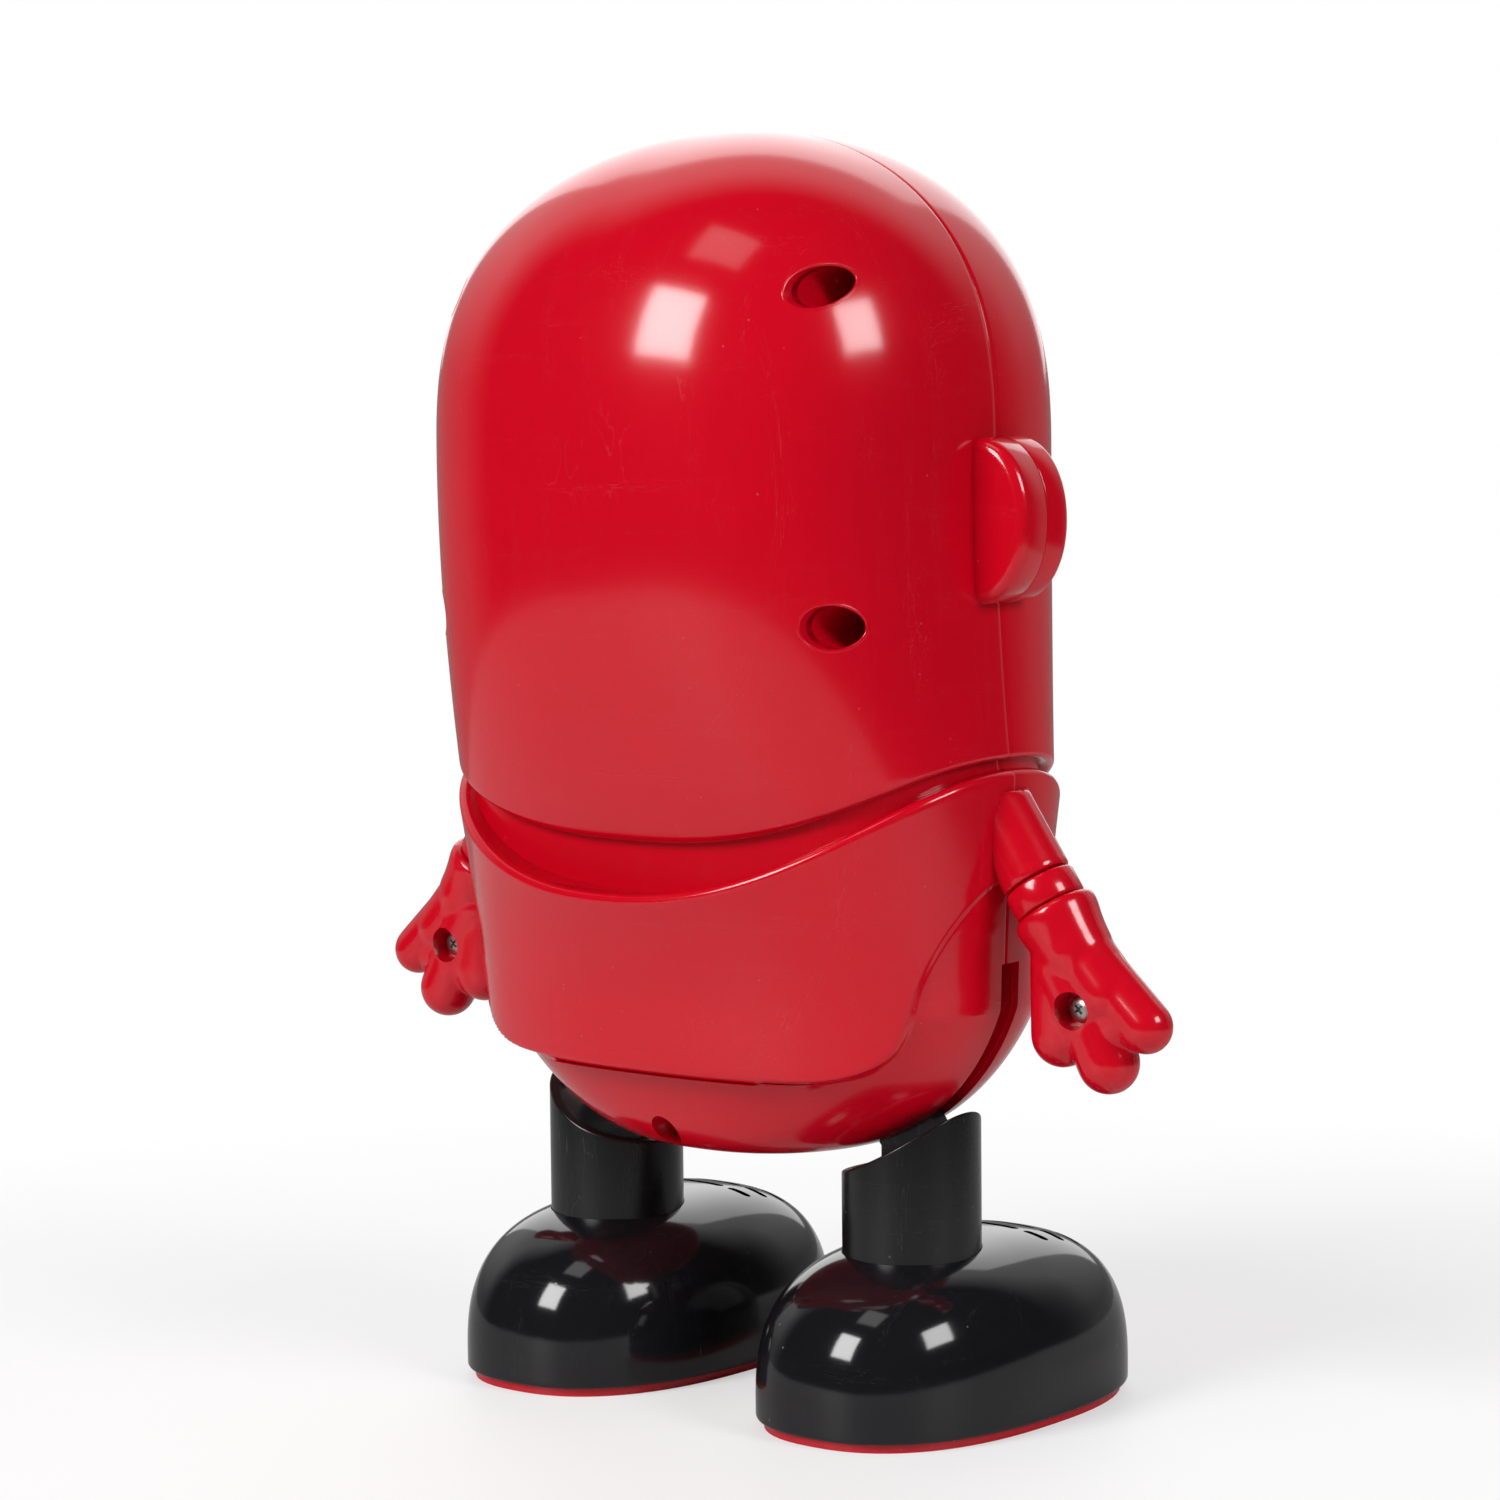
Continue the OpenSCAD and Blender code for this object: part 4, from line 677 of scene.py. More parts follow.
def capsule(a, b, radius, matrix, flat=1.0, steps=32):
    """Rod with round ends between two points of the hand, a little flattened."""
    a, b = Vector((a[0], 0, a[1])), Vector((b[0], 0, b[1]))
    axis = (a - b).normalized()
    turn = Vector((0, 0, 1)).rotation_difference(axis).to_matrix().to_4x4()
    span = (a - b).length
    profile = [(radius * sin(radians(t)), -radius * cos(radians(t))) for t in range(0, 91, 10)]
    profile += [(radius * cos(radians(t)), span + radius * sin(radians(t))) for t in range(0, 91, 10)]
    squash = Matrix.Scale(flat, 4, (0, 1, 0))
    return lathe(profile, steps, matrix @ squash @ Matrix.Translation(b) @ turn)


def palm_point(p, k):
    """Middle of the screw recess in a palm."""
    return wrist_frame(p, k) @ Vector((PALM[0], 0, PALM[1]))


def build_glove(p, name, k):
    """Mitt with three blended fingers, a collar at the wrist and a screw recess in the palm."""
    matrix = wrist_frame(p, k)
    parts = [capsule(root, tip, p.finger / 2 * size, matrix, flat) for root, tip, size, flat in FINGERS]
    r = p.cuff / 2
    profile = [(0, -4.5), (r + 0.2, -4.5), (r + 0.8, -4.75), (r + 1.0, -5.4), (r + 0.95, -6.6), (r + 0.6, -8.3),
               (r + 0.35, -10), (r + 0.2, -12.5), (r - 0.8, -16), (0, -18)]
    lump = joined(name, parts + [lathe(profile, 48, matrix)])
    remesh = lump.modifiers.new("skin", "REMESH")
    remesh.mode, remesh.voxel_size, remesh.use_smooth_shade = "VOXEL", SKIN_VOXEL * MM, True
    baked(lump)
    smooth = lump.modifiers.new("soften", "SMOOTH")
    smooth.factor, smooth.iterations = 0.5, SKIN_PASSES
    baked(lump)
    at = palm_point(p, k)
    recess = cylinder(p.recess / 2, 0, 9, along_y(at.x, PALM_FLOOR, at.z), 48)
    return crisp(cut(lump, [recess, cylinder(2.6, -3, -9, matrix, 48)]), 50)


def build_cuff(p, name, k):
    """Ring with rounded edges between a sleeve and its hand."""
    r, bore, low = p.cuff / 2, 2.3, -4.3
    profile = [(bore, low), (r - 0.5, low), (r - 0.15, low + 0.12), (r, low + 0.45), (r, -0.45),
               (r - 0.15, -0.12), (r - 0.5, 0), (bore, 0), (bore, low)]
    return crisp(lathe(profile, 96, wrist_frame(p, k), name), 50)


# ---- node work ----
def fill(tree, made, inputs):
    """Feeds a node's inputs with other nodes' sockets or plain values."""
    for key, value in inputs.items():
        if isinstance(value, bpy.types.NodeSocket):
            tree.links.new(value, made.inputs[key])
        else:
            made.inputs[key].default_value = value


def node(tree, kind, inputs=None, **settings):
    """New node with its own settings and its inputs."""
    made = tree.nodes.new(kind)
    for key, value in settings.items():
        setattr(made, key, value)
    fill(tree, made, inputs or {})
    return made


def maths(tree, operation, a, b=None, clamp=False):
    inputs = {0: a} if b is None else {0: a, 1: b}
    return node(tree, "ShaderNodeMath", inputs, operation=operation, use_clamp=clamp).outputs[0]


def mixed(tree, share, a, b):
    """Colour between two others."""
    return node(tree, "ShaderNodeMix", {"Factor": share, "A": a, "B": b}, data_type="RGBA").outputs["Result"]


def new_tree(name, kind, inputs, outputs):
    """Node group from its sockets' names and types: the tree, its given values and its results."""
    tree = bpy.data.node_groups.new(name, kind)
    for way, sockets in (("INPUT", inputs), ("OUTPUT", outputs)):
        for label, of_type in sockets.items():
            tree.interface.new_socket(label, in_out=way, socket_type="NodeSocket" + of_type)
    return tree, node(tree, "NodeGroupInput").outputs, node(tree, "NodeGroupOutput").inputs


def end_tree(tree, source, given, result):
    """Ends a geometry tree: real geometry with the given material."""
    real = node(tree, "GeometryNodeRealizeInstances", {0: source})
    paint = node(tree, "GeometryNodeSetMaterial", {"Geometry": real.outputs[0], "Material": given["Material"]})
    tree.links.new(paint.outputs[0], result[0])
    return tree


def run_tree(obj, tree, values):
    """Runs a node tree on an object and leaves it with a plain mesh."""
    step = obj.modifiers.new("nodes", "NODES")
    step.node_group = tree
    for item in tree.interface.items_tree:
        if item.in_out == "INPUT" and item.name in values:
            step[item.identifier] = values[item.name]
    return baked(obj)


# ---- legs and shoes ----
# Power of a shoe's oval, thickness of its rounded rim, top of the upright part, and where the dome begins
SHOE_N, SHOE_RIM, SHOE_WALL_TOP, SHOE_DOME = 2.43, 0.7, 2.4, 4
# Toe slots: sizes, and how far the first lies ahead of the shoe's middle and above the floor
SLOT_AHEAD, SLOT_LEVEL = 12, 26
SLOT_SIZES = {"Long slot": 9.4, "Short slot": 2.8, "Side offset": 9, "Slot width": 0.8, "Depth": 24}


def shoe_rings(p, inset, steps=160):
    """Rings up a shoe's dome, or up a face set in from it."""
    top = p.shoe_height - inset
    levels = [(p.sole, 0)]
    if inset == 0:
        levels = [(p.sole + SHOE_RIM * (t / 90) ** 2, SHOE_RIM * (1 - sin(radians(t)))) for t in np.linspace(0, 90, 7)]
    for t in np.linspace(0, 89.6, 60)[1:]:
        levels.append((SHOE_WALL_TOP + (top - SHOE_WALL_TOP) * sin(radians(t)), 0))
    a = np.radians(np.arange(steps) * 360 / steps)
    rings = []
    for z, step in levels:
        s = np.clip((z - SHOE_DOME) / (top - SHOE_DOME), 0, 1)
        k = max(1 - s ** 2.6, 0) ** (1 / 3.2)
        x = ((p.shoe_width / 2 - inset) * k - step) * spow(np.cos(a), 2 / SHOE_N)
        y = ((p.shoe_length / 2 - inset) * k - step) * spow(np.sin(a), 2 / SHOE_N)
        rings.append(np.stack([p.leg_x + x, y - p.shoe_forward, np.full_like(x, z)], -1))
    return np.array(rings)


def slot_tree():
    """Geometry nodes that lay rows of round-ended slots along -Y."""
    lengths = dict.fromkeys(("Pitch", *SLOT_SIZES), "Float")
    tree, given, result = new_tree("toe_slots", "GeometryNodeTree", {"Rows": "Int", **lengths, "Material": "Material"},
                                   {"Geometry": "Geometry"})
    add = partial(node, tree)
    join = add("GeometryNodeJoinGeometry")
    step = add("ShaderNodeCombineXYZ", {"Y": maths(tree, "MULTIPLY", given["Pitch"], -1)})
    for column in (-1, 0, 1):
        start = add("ShaderNodeCombineXYZ", {"X": maths(tree, "MULTIPLY", given["Side offset"], column)})
        line = add("GeometryNodeMeshLine", {"Count": given["Rows"], "Offset": step.outputs[0],
                                            "Start Location": start.outputs[0]})
        half = maths(tree, "DIVIDE", given["Short slot" if column else "Long slot"], 2)
        ends = [add("ShaderNodeCombineXYZ", {"X": x}).outputs[0] for x in (maths(tree, "MULTIPLY", half, -1), half)]
        bar = add("GeometryNodeCurvePrimitiveLine", {"Start": ends[0], "End": ends[1]})
        points = add("GeometryNodeCurveToPoints", {"Curve": bar.outputs[0], "Count": 2}, mode="COUNT")
        pill = add("GeometryNodeMeshCylinder", {"Vertices": 24, "Radius": given["Slot width"],
                                                "Depth": given["Depth"]}, fill_type="NGON")
        pair = add("GeometryNodeInstanceOnPoints", {"Points": points.outputs["Points"],
                                                    "Instance": pill.outputs["Mesh"]})
        solid = add("GeometryNodeRealizeInstances", {0: pair.outputs[0]})
        hull = add("GeometryNodeConvexHull", {0: solid.outputs[0]})
        rows = add("GeometryNodeInstanceOnPoints", {"Points": line.outputs["Mesh"], "Instance": hull.outputs[0]})
        fill(tree, join, {0: rows.outputs[0]})
    return end_tree(tree, join.outputs[0], given, result)


def build_shoe(p, name, k, tree, material):
    """Thin domed shoe with toe slots and a collar round its leg tube."""
    outer, inner = shoe_rings(p, 0), shoe_rings(p, p.shoe_wall)
    rows_o, rows_i, n = len(outer), len(inner), outer.shape[1]
    poles = [[p.leg_x, -p.shoe_forward, z] for z in (p.shoe_height, p.shoe_height - p.shoe_wall)]
    verts = np.concatenate([outer.reshape(-1, 3), inner.reshape(-1, 3), poles])
    total = rows_o * n
    faces = grid_quads(rows_o, n, wrap=True) + grid_quads(rows_i, n, wrap=True, first=total, flip=True)
    top_o, top_i = len(verts) - 2, len(verts) - 1
    for j in range(n):
        m = (j + 1) % n
        faces.append((j, total + j, total + m, m))
        faces.append((top_o, (rows_o - 1) * n + j, (rows_o - 1) * n + m))
        faces.append((top_i, total + (rows_i - 1) * n + m, total + (rows_i - 1) * n + j))
    verts[:, 0] *= k
    shoe = turned_out(new_object(name, verts, faces))
    leg, hole = Matrix.Translation((k * p.leg_x, 0, 0)), p.tube / 2 + 0.1
    socket = cylinder(hole, 12, 42, leg, 96)
    slots = run_tree(new_object("slots", np.zeros((0, 3)), []), tree,
                     {"Rows": p.slot_rows, "Pitch": p.slot_pitch * MM, "Material": material,
                      **{key: size * MM for key, size in SLOT_SIZES.items()}})
    slots.data.transform(Matrix.Translation((k * p.leg_x * MM, (-p.shoe_forward - SLOT_AHEAD) * MM,
                                             SLOT_LEVEL * MM)))
    cut(shoe, [socket, slots])
    collar = lathe([(hole, 16.5), (hole + 2, 16.5), (hole + 2, 23.7), (hole, 24.6), (hole, 16.5)], 96, leg)
    return joined(name, [crisp(shoe), collar])


def build_tube(p, name, k):
    """Leg tube with a round-edged top that follows the body's underside."""
    r, bore, flange_r, edge = p.tube / 2, p.tube / 2 - p.tube_wall, p.tube / 2 + 1.2, 0.4
    low, flange, top_r = 15.5, 17.5, p.hip_radius + 3

    def top(x, inset):
        return p.hip - ((top_r + inset) ** 2 - (x - p.hip_spacing) ** 2) ** 0.5

    def ring(radius, inset=0, level=None):
        """Points round the tube at one level, or at the top's height less an inset."""
        places = [(p.leg_x + radius * cos(a), radius * sin(a)) for a in turns(128)]
        return [(k * x, y, top(x, inset) if level is None else level) for x, y in places]

    rows = [ring(bore, level=low), ring(flange_r, level=low), ring(flange_r, level=flange), ring(r, level=flange)]
    rows += [ring(r - edge * (1 - cos(radians(t))), edge * (1 - sin(radians(t)))) for t in np.linspace(0, 90, 6)]
    rows += [ring(bore), ring(bore, p.tube_wall), ring(bore * 0.02, level=top(p.leg_x, p.tube_wall))]
    return crisp(ringed(name, rows))


# ---- screws ----
def cross_tree():
    """Geometry nodes that set one cross-head screw on each point, turned along the point's direction."""
    tree, given, result = new_tree("screw_heads", "GeometryNodeTree", {"Geometry": "Geometry", "Head": "Object",
                                   "Seed": "Int", "Material": "Material"}, {"Geometry": "Geometry"})
    add = partial(node, tree)
    head = add("GeometryNodeObjectInfo", {"Object": given["Head"]})
    way = add("GeometryNodeInputNamedAttribute", {"Name": "way"}, data_type="FLOAT_VECTOR")
    aim = add("FunctionNodeAlignRotationToVector", {"Vector": way.outputs["Attribute"]}, axis="Z")
    spin = add("FunctionNodeRandomValue", {"Min": (0, 0, 0), "Max": (0, 0, 1.57), "Seed": given["Seed"]},
               data_type="FLOAT_VECTOR")
    by = add("FunctionNodeEulerToRotation", {0: spin.outputs["Value"]})
    turn = add("FunctionNodeRotateRotation", {"Rotation": aim.outputs[0], "Rotate By": by.outputs[0]},
               rotation_space="LOCAL")
    place = add("GeometryNodeInstanceOnPoints", {"Points": given["Geometry"], "Instance": head.outputs["Geometry"],
                                                 "Rotation": turn.outputs[0]})
    return end_tree(tree, place.outputs[0], given, result)


def screw_head(shank):
    """Pan head with a cross recess, its seat at the origin and its shank downwards."""
    profile = [(0, -shank), (0.7, -shank), (1.2, -shank + 0.8), (1.2, 0), (2.2, 0), (2.2, 0.5), (2.0, 1.0),
               (1.5, 1.4), (0.8, 1.58), (0, 1.6)]
    body = lathe(profile, 40)
    cutters = []
    for turn in (0, 90):
        m = Matrix.Rotation(radians(turn), 4, "Z")
        cutters.append(ringed("cross", [[m @ Vector((x * long, y * wide, z)) for x, y in
                                         ((-1, -1), (1, -1), (1, 1), (-1, 1))]
                                        for long, wide, z in ((0.5, 0.12, 0.7), (1.25, 0.3, 2.4))], caps=True))
    return crisp(cut(body, cutters), 35)


def screw_set(name, places, shank, material, seed):
    """One mesh of screws that point along Y, from (x, y, z) places in millimetres."""
    head = screw_head(shank)
    mesh = bpy.data.meshes.new(name)
    mesh.from_pydata([(x * MM, y * MM, z * MM) for x, y, z in places], [], [])
    for item in mesh.attributes.new("way", "FLOAT_VECTOR", "POINT").data:
        item.vector = (0, 1, 0)
    tree = bpy.data.node_groups.get("screw_heads") or cross_tree()
    obj = run_tree(placed(name, mesh), tree, {"Head": head, "Seed": seed, "Material": material})
    bpy.data.objects.remove(head)
    return obj


# ---- finishes ----
def wear_group():
    """Fine scratches, dust specks and slow waves of a handled, moulded surface."""
    name = "handled_plastic"
    if name in bpy.data.node_groups:
        return bpy.data.node_groups[name]
    group, given, result = new_tree(name, "ShaderNodeTree", dict.fromkeys(("Scratches", "Dust", "Waves"), "Float"),
                                    dict.fromkeys(("Scratch", "Dust", "Cloud", "Height"), "Float"))
    add, calc = partial(node, group), partial(maths, group)
    place = add("ShaderNodeTexCoord").outputs["Object"]

    def noise(vector, scale, detail=2):
        return add("ShaderNodeTexNoise", {"Vector": vector, "Scale": scale, "Detail": detail}).outputs["Fac"]

    marks = []
    for turn, stretch in ((0.5, (260, 9, 40)), (-0.9, (30, 240, 8)), (1.7, (9, 60, 280))):
        spun = add("ShaderNodeMapping", {"Vector": place, "Rotation": (turn, turn * 1.7, turn * 0.6),
                                         "Scale": stretch}).outputs[0]
        thin = calc("MULTIPLY", calc("ABSOLUTE", calc("SUBTRACT", noise(spun, 9), 0.5)), -90)
        gate = calc("MULTIPLY", calc("SUBTRACT", noise(spun, 1.4), 0.56), 9, clamp=True)
        marks.append(calc("MULTIPLY", calc("ADD", thin, 1.0, clamp=True), gate))
    scratch = calc("MAXIMUM", calc("MAXIMUM", marks[0], marks[1]), marks[2])
    scratch = calc("MULTIPLY", scratch, given["Scratches"])
    specks = add("ShaderNodeTexVoronoi", {"Vector": place, "Scale": 420}).outputs
    spot = calc("MULTIPLY", calc("SUBTRACT", 0.10, specks["Distance"]), 22, clamp=True)
    rare = calc("GREATER_THAN", add("ShaderNodeSeparateColor", {0: specks["Color"]}).outputs[0], 0.86)
    spot = calc("MULTIPLY", calc("MULTIPLY", spot, rare), given["Dust"])
    height = calc("MULTIPLY", noise(place, 26, 1), given["Waves"])
    height = calc("SUBTRACT", height, calc("MULTIPLY", scratch, 0.02))
    height = calc("ADD", height, calc("MULTIPLY", spot, 0.03))
    for socket, source in zip(result, (scratch, spot, noise(place, 34, 5), height)):
        group.links.new(source, socket)
    return group


def worn_material(name, low, high, wear):
    """New material: its tree, what the wear group gives, and a tint that drifts between two colours."""
    material = bpy.data.materials.new(name)
    material.use_nodes = True
    tree = material.node_tree
    worn = node(tree, "ShaderNodeGroup", node_tree=wear_group())
    fill(tree, worn, dict(zip(("Scratches", "Dust", "Waves"), wear)))
    return material, tree, worn.outputs, mixed(tree, worn.outputs["Cloud"], (*low, 1), (*high, 1))


def dress(tree, height, strength, distance, inputs):
    """Feeds a material's shader, with a bump from the height."""
    bump = node(tree, "ShaderNodeBump", {"Strength": strength, "Distance": distance, "Height": height})
    fill(tree, tree.nodes["Principled BSDF"], {"Normal": bump.outputs[0], **inputs})


def plastic(name, rgb, rough, *, scratches=0.5, dust=0.5, waves=0.5, coat=0.0, spread=0.1, parting=False,
            bump=0.25, see_through=0.0):
    """Moulded plastic whose colour, roughness and height vary over the surface."""
    if name in bpy.data.materials:
        return bpy.data.materials[name]
    low, high = ([min(c * (1 + drift), 1) for c in rgb] for drift in (-spread, spread))
    material, tree, worn, tint = worn_material(name, low, high, (scratches, dust, waves))
    calc = partial(maths, tree)
    mask = calc("MAXIMUM", worn["Dust"], calc("MULTIPLY", worn["Scratch"], 0.35))
    rough = calc("ADD", calc("MULTIPLY", worn["Cloud"], 0.5 * rough), 0.75 * rough)
    height = worn["Height"]
    if parting:
        line_half, line_depth = 0.00016, 1.6
        y = node(tree, "ShaderNodeSeparateXYZ", {0: node(tree, "ShaderNodeTexCoord").outputs["Object"]}).outputs["Y"]
        line = calc("SUBTRACT", 1.0, calc("MULTIPLY", calc("ABSOLUTE", y), 1 / line_half), clamp=True)
        height = calc("SUBTRACT", height, calc("MULTIPLY", line, line_depth))
    dress(tree, height, bump, 0.0004, {
        "Base Color": mixed(tree, mask, tint, (*[min(c * 0.55 + 0.22, 1) for c in rgb], 1)),
        "Roughness": calc("ADD", rough, calc("MULTIPLY", mask, 0.4), clamp=True), "Specular IOR Level": 0.5,
        "IOR": 1.5, "Coat Weight": coat, "Coat Roughness": 0.05, "Transmission Weight": see_through})
    return material


def metal(name, rgb, rough):
    """Plated steel with fine turning marks and dull spots."""
    if name in bpy.data.materials:
        return bpy.data.materials[name]
    material, tree, worn, tint = worn_material(name, [c * 0.7 for c in rgb], rgb, (0.8, 0.3, 0.8))
    rough = maths(tree, "ADD", maths(tree, "MULTIPLY", worn["Cloud"], 0.25), rough, clamp=True)
    dress(tree, worn["Height"], 0.4, 0.0003, {"Base Color": tint, "Roughness": rough, "Metallic": 1.0})
    return material


def finishes(scene):
    f = scene.robot_finish
    w = f.wear
    return {
        "shell_red": plastic("gloss_red", f.red, 0.15, scratches=0.5 * w, dust=0.35 * w, waves=0.5, coat=0.08,
                             spread=0.06),
        "hand_red": plastic("gloss_red_hand", f.red, 0.16, scratches=0.4 * w, dust=0.3 * w, waves=0.5, coat=0.08,
                            spread=0.06, parting=True),
        "visor_dark": plastic("smoked_visor", f.visor, 0.07, scratches=0.3 * w, dust=0.3 * w, waves=0.2, coat=0.3),
        "lens_amber": plastic("amber_lens", f.lens, 0.12, waves=0.3, see_through=0.35),
        "panel_black": plastic("black_panel", (0.03, 0.03, 0.032), 0.55, waves=0.6),
        "lamp_white": plastic("milky_lamp", (0.85, 0.85, 0.8), 0.25, waves=0.3),
        "board_green": plastic("green_board", (0.02, 0.16, 0.06), 0.4, waves=0.5),
        "screw_steel": metal("plated_steel", f.steel, 0.22),
        "case_plastic": plastic("case_grey", (0.72, 0.72, 0.68), 0.45, waves=0.5),
        "motor_steel": metal("motor_can", (0.55, 0.55, 0.56), 0.3),
        "gear_nylon": plastic("nylon", (0.86, 0.83, 0.74), 0.4, waves=0.4),
        "arm_black": plastic("satin_arm", (0.02, 0.02, 0.022), 0.4, waves=0.6, dust=0.6 * w),
        "tube_black": plastic("satin_tube", f.tube_black, 0.27, scratches=0.5 * w, dust=0.5 * w, waves=0.7, bump=0.35),
        "shoe_black": plastic("gloss_black", f.shoe_black, 0.1, scratches=0.5 * w, dust=0.9 * w, waves=0.35),
        "sole_red": plastic("gloss_red_sole", f.sole_red, 0.2, scratches=0.7 * w, dust=0.5 * w, waves=0.4),
        "battery_can": plastic("cell_wrap", (0.1, 0.2, 0.5), 0.3),
        "contact_nickel": metal("nickel", (0.8, 0.78, 0.72), 0.15),
        "switch_black": plastic("switch_black", (0.02, 0.02, 0.022), 0.4),
        "knob_grey": plastic("knob_grey", (0.7, 0.7, 0.7), 0.4),
        "speaker_grey": plastic("speaker_grey", (0.2, 0.2, 0.21), 0.5),
    }


# ---- operators ----
class ROBOT_OT_shells(Operator):
    """Build the two red shells of the head and body"""
    bl_idname = "robot.shells"
    bl_label = "Head and body shells"

    def execute(self, context):
        p, red = sizes(context.scene), finishes(context.scene)["shell_red"]
        finish(build_back_shell(p), red, "torso", "shell_red", "back_shell")
        finish(build_front_shell(p), red, "torso", "shell_red", "front_shell")
        return {"FINISHED"}


class ROBOT_OT_face(Operator):
    """Build the smoked visor and the chest lens"""
    bl_idname = "robot.face"
    bl_label = "Visor and chest lens"

    def execute(self, context):
        p, kinds = sizes(context.scene), finishes(context.scene)
        finish(build_visor(p), kinds["visor_dark"], "torso", "visor_dark", "visor")
        finish(build_lens(p), kinds["lens_amber"], "torso", "lens_amber", "chest_lens")
        return {"FINISHED"}


class ROBOT_OT_hands(Operator):
    """Build the cuffs and the mitt hands"""
    bl_idname = "robot.hands"
    bl_label = "Hands and cuffs"

    def execute(self, context):
        p, red = sizes(context.scene), finishes(context.scene)["hand_red"]
        for name, k in SIDES.items():
            finish(build_glove(p, name + "_mitt", k), red, name + "_hand", "shell_red",
                   name + "_glove_back", name + "_glove_front")
            finish(build_cuff(p, name + "_cuff_ring", k), red, name + "_hand", "shell_red", name + "_cuff")
        return {"FINISHED"}


class ROBOT_OT_shoes(Operator):
    """Build the domed shoes with their toe slots, and the leg tubes"""
    bl_idname = "robot.shoes"
    bl_label = "Shoes and leg tubes"

    def execute(self, context):
        p, kinds, tree = sizes(context.scene), finishes(context.scene), slot_tree()
        for name, k in SIDES.items():
            finish(build_shoe(p, name + "_shoe", k, tree, kinds["shoe_black"]), kinds["shoe_black"],
                   name + "_leg", "shoe_black", name + "_shoe_upper")
            finish(build_tube(p, name + "_tube", k), kinds["tube_black"], name + "_leg", "tube_black",
                   name + "_leg_tube")
        return {"FINISHED"}


class ROBOT_OT_screws(Operator):
    """Build the cross-head screws of the shells and the hands"""
    bl_idname = "robot.screws"
    bl_label = "Screws"

    def execute(self, context):
        p, steel = sizes(context.scene), finishes(context.scene)["screw_steel"]
        places = [(k * x, deep, z) for x, z, _, deep in head_screws(p) for k in (1, -1)]
        places.append((FOOT_X, 14.0, p.hip - FOOT_DROP))
        finish(screw_set("shell_screw_set", places, 18, steel, 4), steel, "torso", "screw_steel", "shell_screws")
        for name, k in SIDES.items():
            at = palm_point(p, k)
            finish(screw_set(name + "_palm_screw", [(at.x, PALM_FLOOR, at.z)], 5.5, steel, 7 + k), steel,
                   name + "_hand", "screw_steel", name + "_hand_screw")
        return {"FINISHED"}


class ROBOT_OT_finishes(Operator):
    """Give every other piece its finish"""
    bl_idname = "robot.finishes"
    bl_label = "Finishes"

    def execute(self, context):
        kinds = finishes(context.scene)
        slots = {part["node"]: part["material_slot"] for part in frame["record"]["subparts"]}
        for name, obj in frame["nodes"].items():
            obj.data.materials.clear()
            obj.data.materials.append(kinds[slots[name]])
        return {"FINISHED"}


# Soft lamps: place, the point they face, size and power
LAMPS = {"window_back": ((0.27, 1.13, 0.80), (0, 0, 0.13), (0.50, 0.57), 14),
         "window_side": ((-1.14, 0.05, 0.78), (0, 0, 0.13), (0.45, 0.42), 7.2),
         "overhead": ((0.05, 0.55, 1.35), (0, 0, 0.1), (0.5, 0.4), 1.1),
         "front_fill": ((0.75, -1.1, 0.75), (0, 0, 0.1), (1.4, 1.2), 7)}
# Camera: width of the sensor, focal length as a share of it, and the turn, pitch and roll in degrees
SENSOR, FOCAL = 36.0, 4413.5 / 1500
CAMERA_TURN, CAMERA_PITCH, CAMERA_ROLL = 0.08, 5.27, -0.58


def soft_lamp(name, place, target, size, power):
    lamp = bpy.data.lights.new(name, "AREA")
    lamp.shape = "RECTANGLE"
    lamp.size, lamp.size_y = size
    lamp.energy = power
    obj = placed(name, lamp)
    obj.location = place
    obj.rotation_euler = (Vector(target) - Vector(place)).to_track_quat("-Z", "Y").to_euler()


def floor_material(s):
    """White floor that glows softly for the camera, a little darker near the robot."""
    material = bpy.data.materials.new("white_floor")
    material.use_nodes = True
    tree = material.node_tree
    shader, calc = tree.nodes["Principled BSDF"], partial(maths, tree)
    path = node(tree, "ShaderNodeLightPath").outputs
    # Painted shade: the floor's colour drops from 0.85 to 0.5 for reflection rays, so the robot mirrors a dimmer floor
    # than the lamps give it
    shaded_in_reflections = mixed(tree, path["Is Glossy Ray"], (0.85, 0.85, 0.85, 1), (0.5, 0.5, 0.5, 1))
    fill(tree, shader, {"Base Color": shaded_in_reflections, "Roughness": 0.55})
    place = node(tree, "ShaderNodeTexCoord").outputs["Object"]
    span = node(tree, "ShaderNodeVectorMath", {0: place}, operation="LENGTH").outputs["Value"]
    far = calc("MULTIPLY", calc("SUBTRACT", span, 0.12), 1 / 0.2, clamp=True)
    pale = calc("ADD", 1 - s.shadow, calc("MULTIPLY", far, s.shadow), clamp=True)
    glow = node(tree, "ShaderNodeEmission", {"Strength": 1.03})
    mix = node(tree, "ShaderNodeMixShader", {"Fac": calc("MULTIPLY", path["Is Camera Ray"], pale),
                                             1: shader.outputs[0], 2: glow.outputs[0]})
    fill(tree, tree.nodes["Material Output"], {"Surface": mix.outputs[0]})
    return material


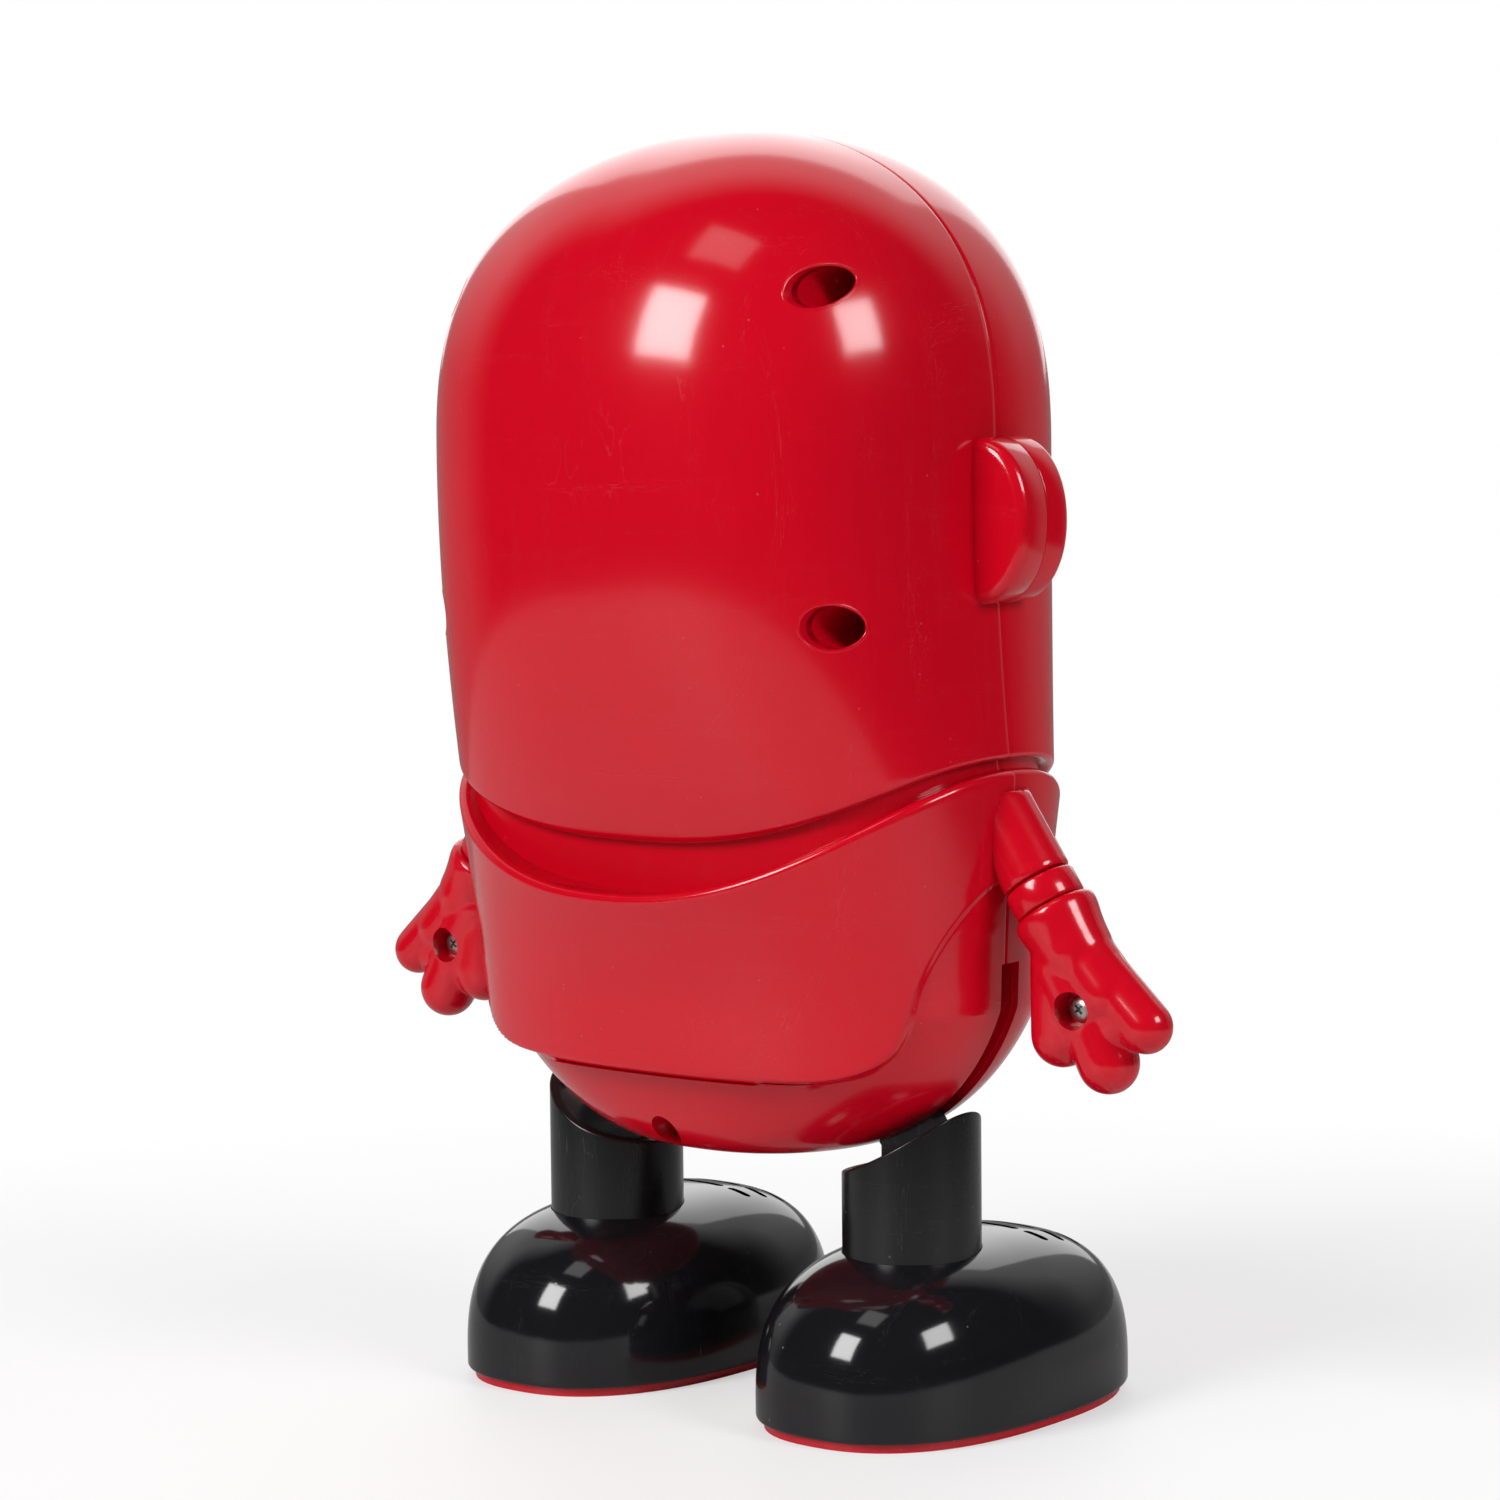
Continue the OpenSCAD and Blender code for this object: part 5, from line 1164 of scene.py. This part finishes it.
def studio_world(s):
    """White backdrop for the camera, a pale sheet behind the robot in reflections, and even light otherwise."""
    world = bpy.data.worlds.new("studio")
    world.use_nodes = True
    tree = world.node_tree
    calc, path = partial(maths, tree), node(tree, "ShaderNodeLightPath").outputs
    place = node(tree, "ShaderNodeTexCoord").outputs["Generated"]
    way = node(tree, "ShaderNodeVectorMath", {0: place, 1: (-sin(s.azimuth), cos(s.azimuth), 0.0)},
               operation="DOT_PRODUCT")
    sheet = calc("MULTIPLY", calc("SUBTRACT", way.outputs["Value"], 0.25), 4.0, clamp=True)
    high = node(tree, "ShaderNodeSeparateXYZ", {0: place}).outputs["Z"]
    upper = calc("MULTIPLY", calc("SUBTRACT", high, 0.08), 2.4, clamp=True)
    sheet = calc("MULTIPLY", sheet, calc("ADD", calc("MULTIPLY", upper, 0.56), 0.2))
    mirrored = calc("MAXIMUM", path["Is Glossy Ray"], path["Is Transmission Ray"])
    seen = calc("MULTIPLY", calc("ADD", sheet, s.room), mirrored)
    rest = calc("MULTIPLY", calc("SUBTRACT", 1.0, mirrored), s.sky)
    plain = calc("SUBTRACT", 1.0, path["Is Camera Ray"])
    strength = calc("ADD", calc("MULTIPLY", calc("ADD", seen, rest), plain), path["Is Camera Ray"])
    fill(tree, tree.nodes["Background"], {"Color": (1, 1, 1, 1), "Strength": strength})
    return world


def stage_camera(s):
    """Camera that looks at the robot from the view's direction."""
    lens = bpy.data.cameras.new("camera")
    lens.sensor_width, lens.sensor_fit, lens.lens = SENSOR, "HORIZONTAL", FOCAL * SENSOR
    lens.clip_start, lens.clip_end = 0.01, 50
    obj = placed("camera", lens)
    a = s.azimuth
    place = Vector((sin(a) * s.distance, -cos(a) * s.distance, s.camera_height))
    turn, pitch, roll = a + radians(CAMERA_TURN), radians(CAMERA_PITCH), radians(CAMERA_ROLL)
    forward = Vector((-sin(turn) * cos(pitch), cos(turn) * cos(pitch), -sin(pitch)))
    right = forward.cross(Vector((0, 0, 1))).normalized()
    up = right.cross(forward)
    right, up = right * cos(roll) + up * sin(roll), up * cos(roll) - right * sin(roll)
    obj.matrix_world = Matrix.Translation(place) @ Matrix((right, up, -forward)).transposed().to_4x4()
    return obj


class ROBOT_OT_stage(Operator):
    """Build the pale floor, the soft lamps and the camera"""
    bl_idname = "robot.stage"
    bl_label = "Floor, lamps and camera"

    def execute(self, context):
        scene, s = context.scene, context.scene.robot_stage
        reach, steps = s.floor_reach / MM, 96
        ring = [(reach * cos(t), reach * sin(t), 0) for t in turns(steps)]
        floor = new_object("floor", ring, [tuple(range(steps))])
        floor.data.materials.append(floor_material(s))
        scene.world = studio_world(s)
        for name, (place, target, size, power) in LAMPS.items():
            soft_lamp(name, place, target, size, power * s.lamp_level)
        scene.camera = stage_camera(s)
        scene.view_settings.view_transform = "Standard"
        return {"FINISHED"}


class ROBOT_PT_panel(Panel):
    """Lists the robot's pieces and its sizes"""
    bl_idname = "ROBOT_PT_panel"
    bl_label = "Toy robot"
    bl_space_type = "VIEW_3D"
    bl_region_type = "UI"
    bl_category = "Toy robot"

    def draw(self, context):
        for step in STEPS:
            self.layout.operator(step.bl_idname)
        for name, group in GROUPS.items():
            box = self.layout.box()
            box.label(text=name.removeprefix("robot_").capitalize())
            for key in group.__annotations__:
                box.prop(getattr(context.scene, name), key)


GROUPS = {"robot_shell": ROBOT_PG_shell, "robot_face": ROBOT_PG_face, "robot_hands": ROBOT_PG_hands,
          "robot_legs": ROBOT_PG_legs, "robot_finish": ROBOT_PG_finish, "robot_stage": ROBOT_PG_stage}
STEPS = (ROBOT_OT_stage, ROBOT_OT_finishes, ROBOT_OT_shells, ROBOT_OT_face, ROBOT_OT_hands, ROBOT_OT_shoes,
         ROBOT_OT_screws)


def register():
    for item in (*GROUPS.values(), *STEPS, ROBOT_PT_panel):
        bpy.utils.register_class(item)
    for name, group in GROUPS.items():
        setattr(bpy.types.Scene, name, PointerProperty(type=group))


def unregister():
    for name in GROUPS:
        delattr(bpy.types.Scene, name)
    for item in reversed((*GROUPS.values(), *STEPS, ROBOT_PT_panel)):
        bpy.utils.unregister_class(item)


def main():
    register()
    for step in STEPS:
        area, action = step.bl_idname.split(".")
        getattr(getattr(bpy.ops, area), action)()


if __name__ == "__main__":
    main()
